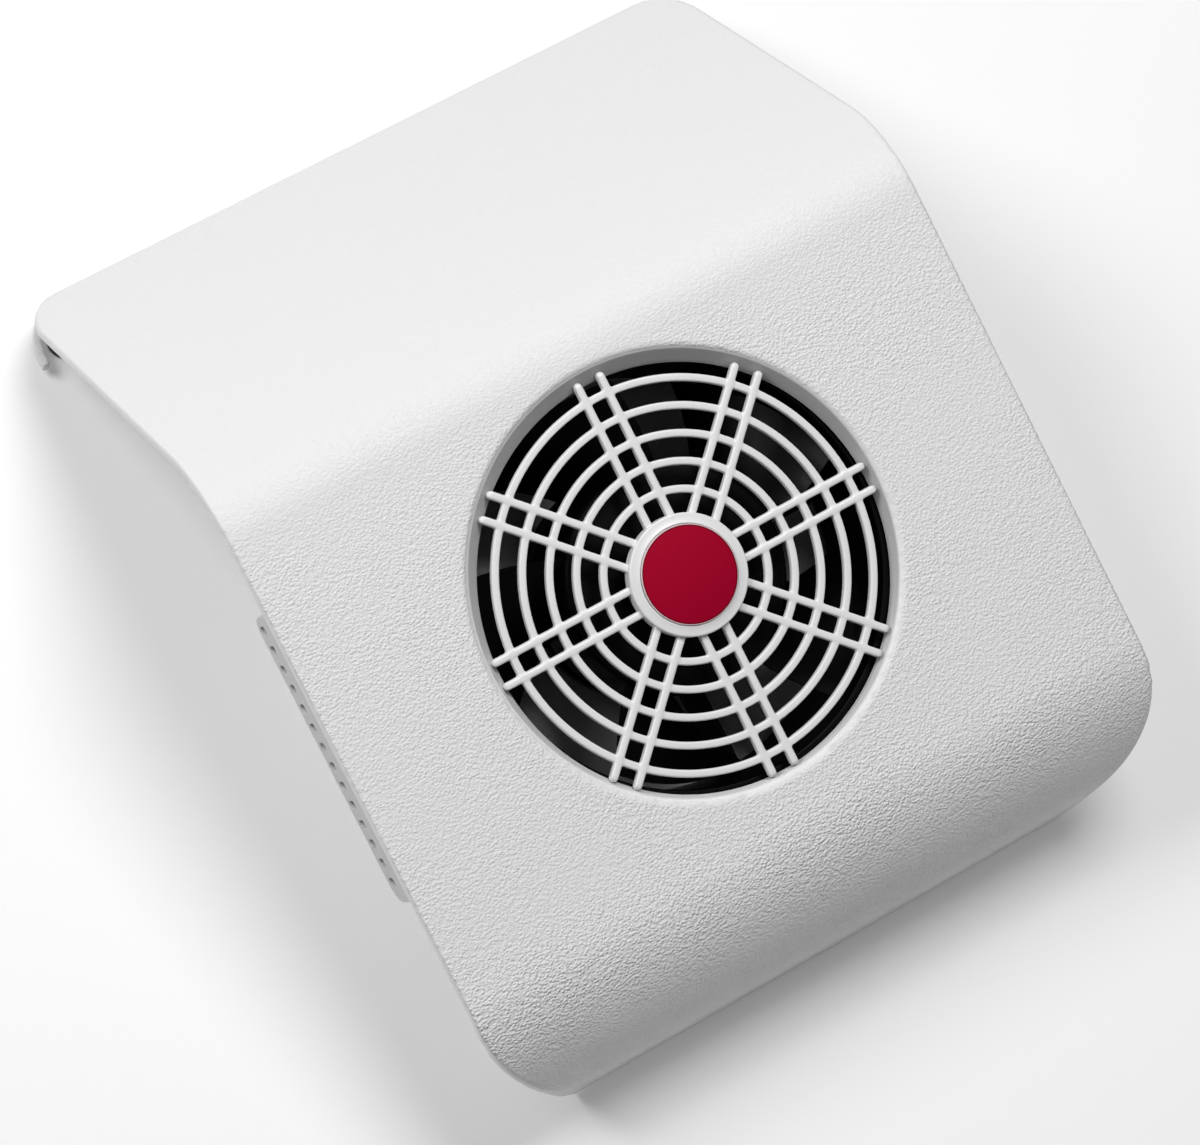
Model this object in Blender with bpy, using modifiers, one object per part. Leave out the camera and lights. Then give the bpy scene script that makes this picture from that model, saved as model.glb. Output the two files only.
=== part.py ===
# Desktop nail dust collector: an arched hand rest over a suction fan, in metres, +Z up.
# X is the width, the low front of the rest faces -Y, and the feet stand on Z = 0.
import math

import bmesh
import bpy
from mathutils import Matrix, Vector

# Driving sizes of the whole unit
cover_width = 0.210
cover_depth = 0.260
ridge_from_front = 0.1745
ridge_corner_height = 0.099
front_corner_height = 0.054
rear_corner_height = 0.014
fan_from_ridge = 0.0797

# Clearances shared by every piece
fit_gap = 0.0003
cut_overrun = 0.012
window_overlap = 0.002
weld_distance = 0.000005
oval_share = 0.98
least_radius_share = 0.1

# Top cover
cover_wall = 0.0025
cover_bottom = 0.002
ridge_radius = 0.032
front_roll_radius = 0.038
rear_bend_radius = 0.008
front_plan_radius = 0.022
rear_plan_radius = 0.013
plan_slack = 0.00002
side_rim_depth = 0.0038
side_window_from_front = 0.010
side_window_from_rear = 0.016
side_window_depth = 0.0055
side_notch_from_rear = 0.0042
side_notch_bottom = 0.0065
side_notch_depth = 0.0075
apron_half_width = 0.079
apron_shoulder_half_width = 0.092
apron_shoulder_height = 0.031
apron_top_height = 0.052
apron_cut_reach = 0.012
recess_radius = 0.0597
recess_depth = 0.0052
inlet_radius = 0.0566
collar_wall = 0.0025
collar_depth = 0.0055
foot_post_radius = 0.0045
rear_foot_inset = 0.0105
rear_foot_setback = 0.0103
front_foot_inset = 0.0235
front_foot_setback = 0.021
foot_post_bottom = 0.0029

# Lower case
case_side_clearance = 0.0065
case_front_reach = 0.065
case_rear_reach = 0.070
case_bottom = 0.008
case_wall = 0.0022
case_corner_radius = 0.012
wing_half_length = 0.0416
wing_shift = -0.0006
wing_depth = 0.0285
case_post_radius = 0.005
case_post_inset = 0.009
case_boss_radius = 0.0045
case_boss_length = 0.012

# Side vent plates
vent_plate_wall = 0.0016
vent_edge_inset = 0.0028
vent_corner_radius = 0.005
vent_slot_count = 14
vent_slot_pitch = 0.00565
vent_slot_width = 0.0022
vent_slot_top = 0.0215
vent_slot_bottom = 0.0262
vent_slot_shift = 0.0011

# Screws
screw_head_radius = 0.0028
screw_head_height = 0.002
screw_shank_radius = 0.0013
fan_screw_count = 4
fan_screw_length = 0.006
case_screw_length = 0.0115
case_screw_seat = 0.004
screw_tip_share = 0.3
screw_edge_share = 0.5
screw_crown_share = 0.75

# Fan frame
frame_bore_radius = 0.056
frame_wall = 0.0035
frame_depth = 0.0425
frame_base_thickness = 0.004
strut_width = 0.006
strut_count = 4
motor_base_radius = 0.031
bearing_tube_wall = 0.002
bearing_tube_rise = 0.0255
ear_radius = 0.0045
ear_reach = 0.0665
ear_thickness = 0.003
fan_boss_radius = 0.004
ear_web_share = 0.7
bearing_stop = 0.0008
base_stop_height = 0.0012

# Motor
shaft_radius = 0.0024
bearing_radius = 0.0052
bearing_length = 0.004
core_radius = 0.0225
core_length = 0.012
core_body_radius = 0.0115
core_base_clearance = 0.006
pole_width = 0.007
pole_shoe_thickness = 0.003
pole_shoe_half_angle = math.radians(36)
pole_count = 4
coil_wall = 0.0022
rotor_air_gap = 0.0008
rotor_ring_wall = 0.0045
rotor_ring_length = 0.023
shaft_clip_radius = 0.0042
shaft_clip_thickness = 0.0008

# Impeller
impeller_top = 0.0095
hub_radius = 0.031
hub_top_thickness = 0.0022
hub_skirt_length = 0.030
hub_boss_radius = 0.0058
hub_boss_length = 0.005
blade_count = 5
blade_tip_clearance = 0.0017
blade_thickness = 0.0016
blade_lead_drop = 0.002
blade_height = 0.025
blade_root_sweep = math.radians(38)
blade_tip_sweep = math.radians(46)
blade_lean = math.radians(9)
blade_camber = 0.0025

# Grille
first_ring_radius = 0.0226
ring_pitch = 0.0073
ring_count = 5
bar_width = 0.0021
ring_top_drop = 0.0014
ring_thickness = 0.0022
spoke_proud = 0.0002
spoke_pair_count = 8
spoke_pair_spacing = 0.0068
grille_hub_radius = 0.0163
grille_hub_rise = 0.0018
grille_hub_thickness = 0.0042
grille_hub_edge = 0.001
label_radius = 0.0128
label_thickness = 0.0003

# Outlet and dust bag
outlet_half_width = 0.036
outlet_half_height = 0.016
outlet_height = 0.042
outlet_wall = 0.002
outlet_length = 0.013
outlet_flange_reach = 0.004
outlet_flange_thickness = 0.002
bag_frame_wall = 0.0025
bag_frame_length = 0.0085
bag_frame_start = 0.0035
bag_neck_wall = 0.0015
elastic_thickness = 0.0015
elastic_width = 0.004
bag_side_clearance = 0.031
bag_bottom = 0.004
bag_cover_clearance = 0.0155
bag_rear_clearance = 0.022
bag_top_length_share = 0.14
bag_swell_share = 0.0714
bag_mouth_depth_share = 0.143

# Power switch
switch_center_drop = 0.0172
rocker_length_share = 0.24
rocker_width = 0.011
rocker_lip_height = 0.0032
rocker_dip_height = 0.0016
rocker_keel = 0.0015
rocker_pin_radius = 0.0012
rocker_pin_reach = 0.0009
rocker_tilt = math.radians(11)
switch_wall = 0.0014
switch_bezel_reach = 0.0016
switch_bezel_thickness = 0.0016
switch_body_depth = 0.014
switch_well_depth = 0.0058
rocker_end_clearance = 0.0008
terminal_tab_width = 0.0048
terminal_tab_thickness = 0.0008
terminal_tab_length = 0.010
terminal_tab_embed = 0.004
terminal_tab_spacing_share = 1.1

# Cord gland and wiring
gland_center_drop = 0.0172
gland_radius = 0.0055
gland_flange_radius = 0.008
gland_flange_thickness = 0.0018
gland_length = 0.012
gland_bore_radius = 0.0033
block_length = 0.020
block_width_share = 0.35
block_height = 0.009
block_center_along = 0.004
block_screw_radius = 0.0019
block_screw_height = 0.0008
block_screw_depth = 0.004
block_screw_spacing = 0.010
lead_radius = 0.0009
lead_hole_radius = 0.0022
lead_drop = 0.024
lead_hole_along = 0.020
motor_lead_hole_along = -0.006
lead_frame_clearance = 0.0022
lead_corner_share = 0.849
lead_shoulder_share = 0.64
lead_under_frame = 0.0028
lead_bend = 0.006
lead_bend_share = 0.45

# Rubber feet
foot_radius = 0.0055
foot_height = 0.0026
foot_stem_radius = 0.0022
foot_stem_length = 0.004
foot_edge = 0.0006

# Counts that set how fine the round shapes are
round_steps = 40
small_round_steps = 16
screw_steps = 10
corner_steps = 4
slot_corner_steps = 1
bar_end_steps = 3
bag_edge_steps = 3
roll_steps = 8
blade_steps_across = 4
blade_steps_along = 5
lead_bend_steps = 3

# Places worked out from the driving sizes
front_y = -cover_depth / 2
rear_y = cover_depth / 2
ridge_y = front_y + ridge_from_front
front_slope = math.atan((ridge_corner_height - front_corner_height) / ridge_from_front)
rear_slope = math.atan((ridge_corner_height - rear_corner_height) / (rear_y - ridge_y))
fan_center = Vector((
    0,
    ridge_y - fan_from_ridge * math.cos(front_slope),
    ridge_corner_height - fan_from_ridge * math.sin(front_slope),
))
case_rear_y = fan_center.y + case_rear_reach
case_front_y = fan_center.y - case_front_reach
underside_inset = cover_wall + fit_gap
frame_top = -(collar_depth + fit_gap)
frame_bottom = frame_top - frame_depth
base_top = frame_bottom + frame_base_thickness
frame_radius = frame_bore_radius + frame_wall
case_half_width = frame_radius + case_side_clearance
wing_end = cover_width / 2 - vent_edge_inset - vent_plate_wall - fit_gap
wing_width = wing_end - case_half_width
wing_center_x = (case_half_width + wing_end) / 2
block_width = wing_width * block_width_share
rocker_half_length = wing_width * rocker_length_share
terminal_tab_spacing = rocker_half_length * terminal_tab_spacing_share
lead_rear_reach = frame_radius + lead_frame_clearance
lead_corner_reach = frame_radius * lead_corner_share
lead_shoulder_x = frame_radius * lead_shoulder_share
lead_side_x = (frame_radius + case_half_width - case_wall) / 2
bearing_seat_radius = bearing_radius + fit_gap
bearing_tube_radius = bearing_seat_radius + bearing_tube_wall
tube_top = base_top + bearing_tube_rise
switch_half_x = rocker_half_length + rocker_end_clearance + switch_wall
switch_half_y = rocker_width / 2 + fit_gap + switch_wall
core_bottom = base_top + core_base_clearance
rotor_outer_radius = core_radius + rotor_air_gap + rotor_ring_wall
bag_frame_end = outlet_flange_thickness + bag_frame_start + bag_frame_length
bag_body_start = bag_frame_end + fit_gap * 2
bag_half_width = cover_width / 2 - bag_side_clearance
bag_front_y = case_rear_y + bag_body_start
bag_length = rear_y - bag_rear_clearance - bag_front_y
bag_top_length = bag_length * bag_top_length_share
bag_swell = bag_length * bag_swell_share
bag_mouth_depth = bag_length * bag_mouth_depth_share
bar_bottom_drop = ring_top_drop + ring_thickness + spoke_proud
bar_bottom_lean = (bar_bottom_drop - recess_depth / 2) * math.tan(front_slope)
spoke_end_radius = recess_radius - fit_gap - bar_bottom_lean - (
    (recess_radius - inlet_radius) * bar_bottom_drop / recess_depth
)

for old_object in list(bpy.data.objects):
    bpy.data.objects.remove(old_object, do_unlink=True)

parts = bpy.data.collections.new("nail_dust_collector")
cutters = bpy.data.collections.new("cutters")
cutters.hide_render = True
bpy.context.scene.collection.children.link(parts)
bpy.context.scene.collection.children.link(cutters)


def make_material(name, colour, roughness, metallic=0):
    material = bpy.data.materials.new(name)
    material.use_nodes = True
    shader = material.node_tree.nodes["Principled BSDF"]
    shader.inputs["Base Color"].default_value = (*colour, 1)
    shader.inputs["Roughness"].default_value = roughness
    shader.inputs["Metallic"].default_value = metallic
    return material


white_plastic = make_material("white_plastic", (0.83, 0.83, 0.83), 0.5)
grille_plastic = make_material("grille_plastic", (0.9, 0.9, 0.9), 0.3)
black_plastic = make_material("black_plastic", (0.012, 0.012, 0.013), 0.25)
label_red = make_material("label_red", (0.36, 0.006, 0.03), 0.45)
steel = make_material("steel", (0.56, 0.57, 0.58), 0.35, 1)
core_steel = make_material("core_steel", (0.3, 0.3, 0.31), 0.5, 1)
brass = make_material("brass", (0.78, 0.58, 0.28), 0.3, 1)
copper_winding = make_material("copper_winding", (0.55, 0.2, 0.07), 0.4)
rubber = make_material("rubber", (0.03, 0.03, 0.03), 0.8)
bag_cloth = make_material("bag_cloth", (0.8, 0.8, 0.78), 0.9)
lead_plastic = make_material("lead_plastic", (0.35, 0.02, 0.02), 0.5)


def add_frame(name, location, rotation=(0, 0, 0), parent=None):
    frame = bpy.data.objects.new(name, None)
    frame.location = location
    frame.rotation_euler = rotation
    frame.parent = parent
    bpy.context.scene.collection.objects.link(frame)
    bpy.context.view_layer.update()
    return frame


# Local X is the width, local Y runs up the front slope and local Z points out of the cover.
slope_frame = add_frame("slope_frame", fan_center, (front_slope, 0, 0))


def add_object(name, mesh, material, parent=None, location=(0, 0, 0), rotation=(0, 0, 0)):
    """Links a mesh as a sub-part, or as a helper shape where no material is given."""
    shape = bpy.data.objects.new(name, mesh)
    shape.parent = parent
    shape.location = location
    shape.rotation_euler = rotation
    if material is None:
        shape.hide_render = True
        shape.display_type = "WIRE"
        cutters.objects.link(shape)
    else:
        mesh.materials.append(material)
        parts.objects.link(shape)
    return shape


def smooth(shape, angle=math.radians(35)):
    shape.data.shade_smooth()
    shape.data.set_sharp_from_angle(angle=angle)


def mesh_from(name, builder):
    shape = bmesh.new()
    builder(shape)
    mesh = bpy.data.meshes.new(name)
    shape.to_mesh(mesh)
    shape.free()
    return mesh


def box(name, low, high, material=None, parent=None):
    """A box between two corners of its parent's space, with its origin at its middle."""
    low = Vector(low)
    high = Vector(high)
    mesh = mesh_from(name, lambda shape: bmesh.ops.create_cube(shape, size=1))
    mesh.transform(Matrix.Diagonal((*(high - low), 1)))
    return add_object(name, mesh, material, parent, (low + high) / 2)


def cylinder(name, radius, bottom, top, material=None, parent=None, at=(0, 0), steps=screw_steps):
    """An upright cylinder from bottom to top on its parent's Z."""
    mesh = mesh_from(name, lambda shape: bmesh.ops.create_cone(
        shape, cap_ends=True, segments=steps, radius1=radius, radius2=radius, depth=top - bottom))
    made = add_object(name, mesh, material, parent, (at[0], at[1], (bottom + top) / 2))
    smooth(made)
    return made


def turned(name, profile, material=None, parent=None, location=(0, 0, 0), closed=False, steps=round_steps):
    """Turns (radius, height) points about Z. They run down the outer side and back up the inner one."""
    mesh = bpy.data.meshes.new(name)
    edges = [(index, index + 1) for index in range(len(profile) - 1)]
    if closed:
        edges.append((len(profile) - 1, 0))
    mesh.from_pydata([(radius, 0, height) for radius, height in profile], edges, [])
    made = add_object(name, mesh, material, parent, location)
    screw = made.modifiers.new("turn", "SCREW")
    screw.steps = steps
    screw.render_steps = steps
    screw.use_merge_vertices = True
    screw.merge_threshold = weld_distance
    screw.use_smooth_shade = True
    return made


def stacked_circles(name, levels, parent):
    """A solid through round sections from top to bottom, given as (radius, height, shift along Y)."""
    points = []
    for radius, height, shift in levels:
        for step in range(round_steps):
            angle = 2 * math.pi * step / round_steps
            points.append((radius * math.cos(angle), shift + radius * math.sin(angle), height))
    faces = [tuple(range(round_steps))]
    for level in range(len(levels) - 1):
        start = level * round_steps
        for step in range(round_steps):
            after = (step + 1) % round_steps
            faces.append((start + step, start + step + round_steps, start + after + round_steps,
                          start + after))
    last = (len(levels) - 1) * round_steps
    faces.append(tuple(last + step for step in reversed(range(round_steps))))
    mesh = bpy.data.meshes.new(name)
    mesh.from_pydata(points, [], faces)
    return add_object(name, mesh, None, parent)


def solid_from_curve(name, curve, material, parent=None, location=(0, 0, 0), rotation=(0, 0, 0)):
    """Makes a closed mesh of a curve object, so that it can be cut or joined."""
    curve_object = bpy.data.objects.new(name + "_curve", curve)
    bpy.context.scene.collection.objects.link(curve_object)
    graph = bpy.context.evaluated_depsgraph_get()
    mesh = bpy.data.meshes.new_from_object(curve_object.evaluated_get(graph))
    bpy.data.objects.remove(curve_object, do_unlink=True)
    welded = bmesh.new()
    welded.from_mesh(mesh)
    bmesh.ops.remove_doubles(welded, verts=welded.verts, dist=weld_distance)
    bmesh.ops.recalc_face_normals(welded, faces=welded.faces)
    welded.to_mesh(mesh)
    welded.free()
    mesh.name = name
    mesh.materials.clear()
    return add_object(name, mesh, material, parent, location, rotation)


def outline_solid(name, outlines, thickness, material=None, parent=None, location=(0, 0, 0),
                  rotation=(0, 0, 0)):
    """Extrudes flat outlines along local Z. An outline inside another one is a hole."""
    curve = bpy.data.curves.new(name, "CURVE")
    curve.dimensions = "2D"
    curve.fill_mode = "BOTH"
    curve.extrude = thickness / 2
    for outline in outlines:
        spline = curve.splines.new("POLY")
        spline.points.add(len(outline) - 1)
        for point, place in zip(spline.points, outline):
            point.co = (place[0], place[1], 0, 1)
        spline.use_cyclic_u = True
    made = solid_from_curve(name, curve, material, parent, location, rotation)
    smooth(made)
    return made


def tube(name, route, radius, material, parent=None):
    """A round wire through the points of its route."""
    curve = bpy.data.curves.new(name, "CURVE")
    curve.dimensions = "3D"
    curve.bevel_depth = radius
    curve.bevel_resolution = 2
    curve.use_fill_caps = True
    spline = curve.splines.new("POLY")
    spline.points.add(len(route) - 1)
    for point, place in zip(spline.points, route):
        point.co = (*place, 1)
    made = solid_from_curve(name, curve, material, parent)
    smooth(made)
    return made


def combine(target, other, operation):
    step = target.modifiers.new(operation.lower() + "_" + other.name, "BOOLEAN")
    step.operation = operation
    step.solver = "EXACT"
    step.object = other


def cut(target, *others):
    for other in others:
        combine(target, other, "DIFFERENCE")


def join(target, *others):
    for other in others:
        combine(target, other, "UNION")


def keep_inside(target, other):
    combine(target, other, "INTERSECT")


def merged(name, shapes, parent=None):
    """One helper mesh of several shapes that don't touch, such as a row of slots."""
    bpy.context.view_layer.update()
    graph = bpy.context.evaluated_depsgraph_get()
    to_parent = parent.matrix_world.inverted() if parent else Matrix()
    gathered = bmesh.new()
    for shape in shapes:
        mesh = bpy.data.meshes.new_from_object(shape.evaluated_get(graph))
        mesh.transform(to_parent @ shape.matrix_world)
        gathered.from_mesh(mesh)
        bpy.data.meshes.remove(mesh)
        bpy.data.objects.remove(shape, do_unlink=True)
    mesh = bpy.data.meshes.new(name)
    gathered.to_mesh(mesh)
    gathered.free()
    mesh.materials.clear()
    return add_object(name, mesh, None, parent)


def round_corners(corners, radii, steps=corner_steps):
    """Replaces each corner of a closed outline by an arc of its radius."""
    points = []
    count = len(corners)
    for index, corner in enumerate(corners):
        here = Vector(corner)
        radius = radii[index]
        if radius <= 0:
            points.append(here)
            continue
        before = (Vector(corners[index - 1]) - here).normalized()
        after = (Vector(corners[(index + 1) % count]) - here).normalized()
        half_angle = before.angle(after) / 2
        middle = here + (before + after).normalized() * radius / math.sin(half_angle)
        start = here + before * radius / math.tan(half_angle) - middle
        finish = here + after * radius / math.tan(half_angle) - middle
        turn = math.pi - 2 * half_angle
        if start.cross(finish) < 0:
            turn = -turn
        for step in range(steps + 1):
            points.append(middle + Matrix.Rotation(turn * step / steps, 2) @ start)
    return points


def rounded_rectangle(half_x, half_y, radius, center=(0, 0), steps=corner_steps):
    x, y = center
    corners = [
        (x - half_x, y - half_y),
        (x + half_x, y - half_y),
        (x + half_x, y + half_y),
        (x - half_x, y + half_y),
    ]
    return round_corners(corners, [radius] * 4, steps)


def arch_corners(inset):
    """(y, z) of the rear, ridge and front corners of the arch, moved in square to its faces."""
    over_front = inset / math.cos(front_slope)
    over_rear = inset / math.cos(rear_slope)
    slopes = math.tan(front_slope) + math.tan(rear_slope)
    ridge_shift = (over_front - over_rear) / slopes
    rear = (
        rear_y - inset,
        ridge_corner_height - over_rear - math.tan(rear_slope) * (rear_y - inset - ridge_y),
    )
    ridge = (
        ridge_y + ridge_shift,
        ridge_corner_height - over_front + math.tan(front_slope) * ridge_shift,
    )
    front = (
        front_y + inset,
        ridge_corner_height - over_front - math.tan(front_slope) * (ridge_y - front_y - inset),
    )
    return rear, ridge, front


def inner_radius(radius, inset):
    return max(radius - inset, radius * least_radius_share)


def arch_outline(inset, bottom):
    """The side view of the arch, closed along the given bottom height."""
    rear, ridge, front = arch_corners(inset)
    corners = [(rear[0], bottom), rear, ridge, front, (front[0], bottom)]
    radii = [
        0,
        inner_radius(rear_bend_radius, inset),
        inner_radius(ridge_radius, inset),
        inner_radius(front_roll_radius, inset),
        0,
    ]
    return round_corners(corners, radii, roll_steps)


# Turns a flat outline of (y, z) points into the side view, thickness along X.
side_view = (math.pi / 2, 0, math.pi / 2)


def arch_block(name, inset, bottom, width, x=0):
    return outline_solid(name, [arch_outline(inset, bottom)], width, location=(x, 0, 0), rotation=side_view)


def plan_block(name, inset, bottom, top):
    """The cover's outline from above, with its rounded corners, as an upright block."""
    half_x = cover_width / 2 - inset
    front_end = front_y + inset - plan_slack
    rear_end = rear_y - inset + plan_slack
    corners = [(-half_x, front_end), (half_x, front_end), (half_x, rear_end), (-half_x, rear_end)]
    front = front_plan_radius - inset
    rear = rear_plan_radius - inset
    outline = round_corners(corners, [front, front, rear, rear], roll_steps)
    return outline_solid(name, [outline], top - bottom, location=(0, 0, (bottom + top) / 2))


def foot_places():
    half = cover_width / 2
    for side, sign in (("left", -1), ("right", 1)):
        yield "front_" + side, (sign * (half - front_foot_inset), front_y + front_foot_setback)
        yield "rear_" + side, (sign * (half - rear_foot_inset), rear_y - rear_foot_setback)


def case_post_places():
    x = case_half_width - case_post_inset
    for y in (case_front_y + case_post_inset, case_rear_y - case_post_inset):
        for sign in (-1, 1):
            yield sign * x, y


def fan_screw_angle(turn):
    return math.pi / 4 + turn * 2 * math.pi / fan_screw_count


def fan_screw_places():
    for turn in range(fan_screw_count):
        angle = fan_screw_angle(turn)
        yield ear_reach * math.cos(angle), ear_reach * math.sin(angle)


def underside_height(y):
    """Height of the cover's underside over the front slope."""
    drop = cover_wall / math.cos(front_slope)
    return ridge_corner_height - drop - math.tan(front_slope) * (ridge_y - y)


def bag_ceiling(y):
    """Height of the bag at its slanted side, which keeps clear of the cover as the bag is pulled off."""
    drop = cover_wall / math.cos(rear_slope) + bag_cover_clearance
    return ridge_corner_height - drop - math.tan(rear_slope) * (y - ridge_y)


def boss_bottom(y):
    return underside_height(y) - case_boss_length


def make_top_cover():
    tall = ridge_corner_height + cut_overrun
    cover = outline_solid("top_cover", [arch_outline(0, cover_bottom)], cover_width + cut_overrun,
                          white_plastic, rotation=side_view)
    keep_inside(cover, plan_block("cover_plan", 0, -cut_overrun, tall))
    hollow = arch_block("cover_hollow", cover_wall, cover_bottom - cut_overrun, cover_width + cut_overrun)
    keep_inside(hollow, plan_block("cover_hollow_plan", cover_wall, -cut_overrun * 2, tall))
    cut(cover, hollow)

    skin = arch_block("cover_skin_limit", cover_wall / 2, -cut_overrun, cover_width)
    posts = []
    for name, place in foot_places():
        posts.append(cylinder("foot_post_" + name, foot_post_radius, foot_post_bottom, tall, at=place))
    for index, place in enumerate(case_post_places()):
        bottom = boss_bottom(place[1])
        posts.append(cylinder(f"case_boss_{index}", case_boss_radius, bottom, tall, at=place))
    collar = cylinder("inlet_collar", recess_radius + collar_wall, -collar_depth, cover_wall,
                      parent=slope_frame, steps=round_steps)
    posts.append(collar)
    for index, place in enumerate(fan_screw_places()):
        posts.append(cylinder(f"fan_boss_{index}", fan_boss_radius, -collar_depth, cover_wall,
                              parent=slope_frame, at=place))
    carried = merged("cover_bosses", posts)
    keep_inside(carried, skin)
    join(cover, carried)

    # The recess is drawn straight down in the mould, so its circles shift across the slope.
    lean = math.tan(front_slope)
    flare = (recess_radius - inlet_radius) / recess_depth
    recess = stacked_circles("inlet_recess", [
        (recess_radius + flare * cut_overrun, cut_overrun, lean * (cut_overrun + recess_depth / 2)),
        (inlet_radius, -recess_depth, -lean * recess_depth / 2),
        (inlet_radius, -collar_depth - cut_overrun, -lean * recess_depth / 2),
    ], slope_frame)
    cut(cover, recess)
    holes = []
    for name, place in foot_places():
        holes.append(cylinder("foot_bore_" + name, foot_stem_radius + fit_gap,
                              foot_post_bottom - cut_overrun,
                              foot_post_bottom + foot_stem_length + fit_gap, at=place))
    for index, place in enumerate(case_post_places()):
        bottom = boss_bottom(place[1])
        holes.append(cylinder(f"case_boss_bore_{index}", screw_shank_radius + fit_gap, bottom - cut_overrun,
                              bottom + case_screw_length - case_screw_seat, at=place))
    for index, place in enumerate(fan_screw_places()):
        holes.append(cylinder(f"fan_boss_bore_{index}", screw_shank_radius + fit_gap,
                              -collar_depth - cut_overrun, -collar_depth + fan_screw_length - ear_thickness,
                              parent=slope_frame, at=place))
    cut(cover, merged("cover_bores", holes))

    # Each side is open under its rim. A low lip is left at the rear corner, below a notch.
    window_rear = rear_y - side_window_from_rear
    notch_rear = rear_y - side_notch_from_rear
    openings = [
        ("side_window_", side_window_depth, -cut_overrun, front_y + side_window_from_front, window_rear),
        ("side_notch_", side_notch_depth, side_notch_bottom, window_rear - window_overlap, notch_rear),
    ]
    for sign in (-1, 1):
        for name, reach, bottom, front, back in openings:
            depth = reach + cut_overrun
            x = sign * (cover_width / 2 - reach + depth / 2)
            opening = arch_block(f"{name}{sign}", side_rim_depth, bottom, depth, x)
            limit = box(f"{name}limit_{sign}", (x - depth, front, -cut_overrun), (x + depth, back, tall))
            keep_inside(opening, limit)
            cut(cover, opening)

    # The front wall narrows towards the floor, so its lower corners are cut away.
    middle = front_y + (apron_cut_reach - cut_overrun) / 2
    outer = cover_width / 2 + cut_overrun
    for sign in (-1, 1):
        corner = [
            (sign * apron_half_width, -cut_overrun),
            (sign * apron_half_width, cover_bottom),
            (sign * apron_shoulder_half_width, apron_shoulder_height),
            (sign * cover_width / 2, apron_top_height),
            (sign * outer, apron_top_height),
            (sign * outer, -cut_overrun),
        ]
        cut(cover, outline_solid(f"apron_corner_{sign}", [corner], apron_cut_reach + cut_overrun,
                                 location=(0, middle, 0), rotation=(math.pi / 2, 0, 0)))
    return cover


def make_feet():
    for name, place in foot_places():
        turned("foot_" + name, [
            (0, foot_post_bottom + foot_stem_length),
            (foot_stem_radius, foot_post_bottom + foot_stem_length),
            (foot_stem_radius, foot_height),
            (foot_radius, foot_height),
            (foot_radius, foot_edge),
            (foot_radius - foot_edge, 0),
            (0, 0),
        ], rubber, location=(*place, 0), steps=small_round_steps)


def make_lower_case():
    tall = ridge_corner_height + cut_overrun
    middle_y = (case_front_y + case_rear_y) / 2
    half_length = (case_rear_y - case_front_y) / 2

    def body_block(name, inset, bottom, top, material=None):
        outline = rounded_rectangle(case_half_width - inset, half_length - inset,
                                    case_corner_radius - inset, (0, middle_y))
        return outline_solid(name, [outline], top - bottom, material, location=(0, 0, (bottom + top) / 2))

    case = body_block("lower_case", 0, case_bottom, tall, white_plastic)
    wing_low = wing_shift - wing_half_length
    wing_high = wing_shift + wing_half_length
    wings = box("case_wings", (-wing_end, wing_low, -wing_depth), (wing_end, wing_high, cut_overrun),
                parent=slope_frame)
    join(case, wings)
    cut(case, body_block("case_room", case_wall, case_bottom + case_wall, tall + cut_overrun))
    rooms = []
    for sign in (-1, 1):
        inner = sign * case_half_width
        outer = sign * (wing_end + cut_overrun)
        rooms.append(box(f"wing_room_{sign}",
                         (min(inner, outer), wing_low + case_wall, case_wall - wing_depth),
                         (max(inner, outer), wing_high - case_wall, cut_overrun + cut_overrun),
                         parent=slope_frame))
    cut(case, merged("wing_rooms", rooms))

    posts = []
    holes = []
    for index, place in enumerate(case_post_places()):
        top = boss_bottom(place[1]) - fit_gap
        posts.append(cylinder(f"case_post_{index}", case_post_radius, case_bottom + case_wall / 2, top,
                              at=place))
        seat = top - case_screw_seat
        holes.append(cylinder(f"case_post_bore_{index}", screw_shank_radius + fit_gap, seat - case_wall,
                              top + cut_overrun, at=place))
        holes.append(cylinder(f"case_post_well_{index}", screw_head_radius + fit_gap,
                              case_bottom - cut_overrun, seat - case_wall / 2, at=place))
    join(case, merged("case_posts", posts))
    for index in range(2):
        cut(case, merged(f"case_post_holes_{index}", holes[index::2]))

    outlet = outline_solid("case_outlet",
                           [oval(outlet_half_width - outlet_wall, outlet_half_height - outlet_wall)],
                           case_wall + cut_overrun, location=(0, case_rear_y, outlet_height),
                           rotation=(math.pi / 2, 0, 0))
    switch_hole = box("switch_hole", *switch_hole_corners(), parent=slope_frame)
    gland_hole = cylinder("gland_hole", gland_radius + fit_gap, -case_wall - cut_overrun, cut_overrun,
                          parent=wing_rear_frame, at=(-wing_center_x, gland_center_drop))
    lead_holes = []
    for sign in (-1, 1):
        lead_holes.append(partition_hole(f"lead_hole_{sign}", sign, lead_hole_along))
    lead_holes.append(partition_hole("motor_lead_hole", -1, motor_lead_hole_along))
    cut(case, outlet, switch_hole, gland_hole, merged("lead_holes", lead_holes))
    keep_inside(case, arch_block("case_top_limit", underside_inset, -cut_overrun, cover_width))
    return case


def partition_hole(name, sign, along):
    """A hole for a wire through the wall between the fan room and a wing."""
    hole = cylinder(name, lead_hole_radius, -cut_overrun / 2, cut_overrun / 2, parent=slope_frame)
    hole.location = (sign * (case_half_width - case_wall / 2), along, -lead_drop)
    hole.rotation_euler = (0, math.pi / 2, 0)
    return hole


# The wings' rear face: X is the width, Y runs down from the slope and Z points to the rear.
wing_rear_frame = add_frame("wing_rear_frame", (0, wing_shift + wing_half_length, 0),
                            (-math.pi / 2, 0, 0), slope_frame)

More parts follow.
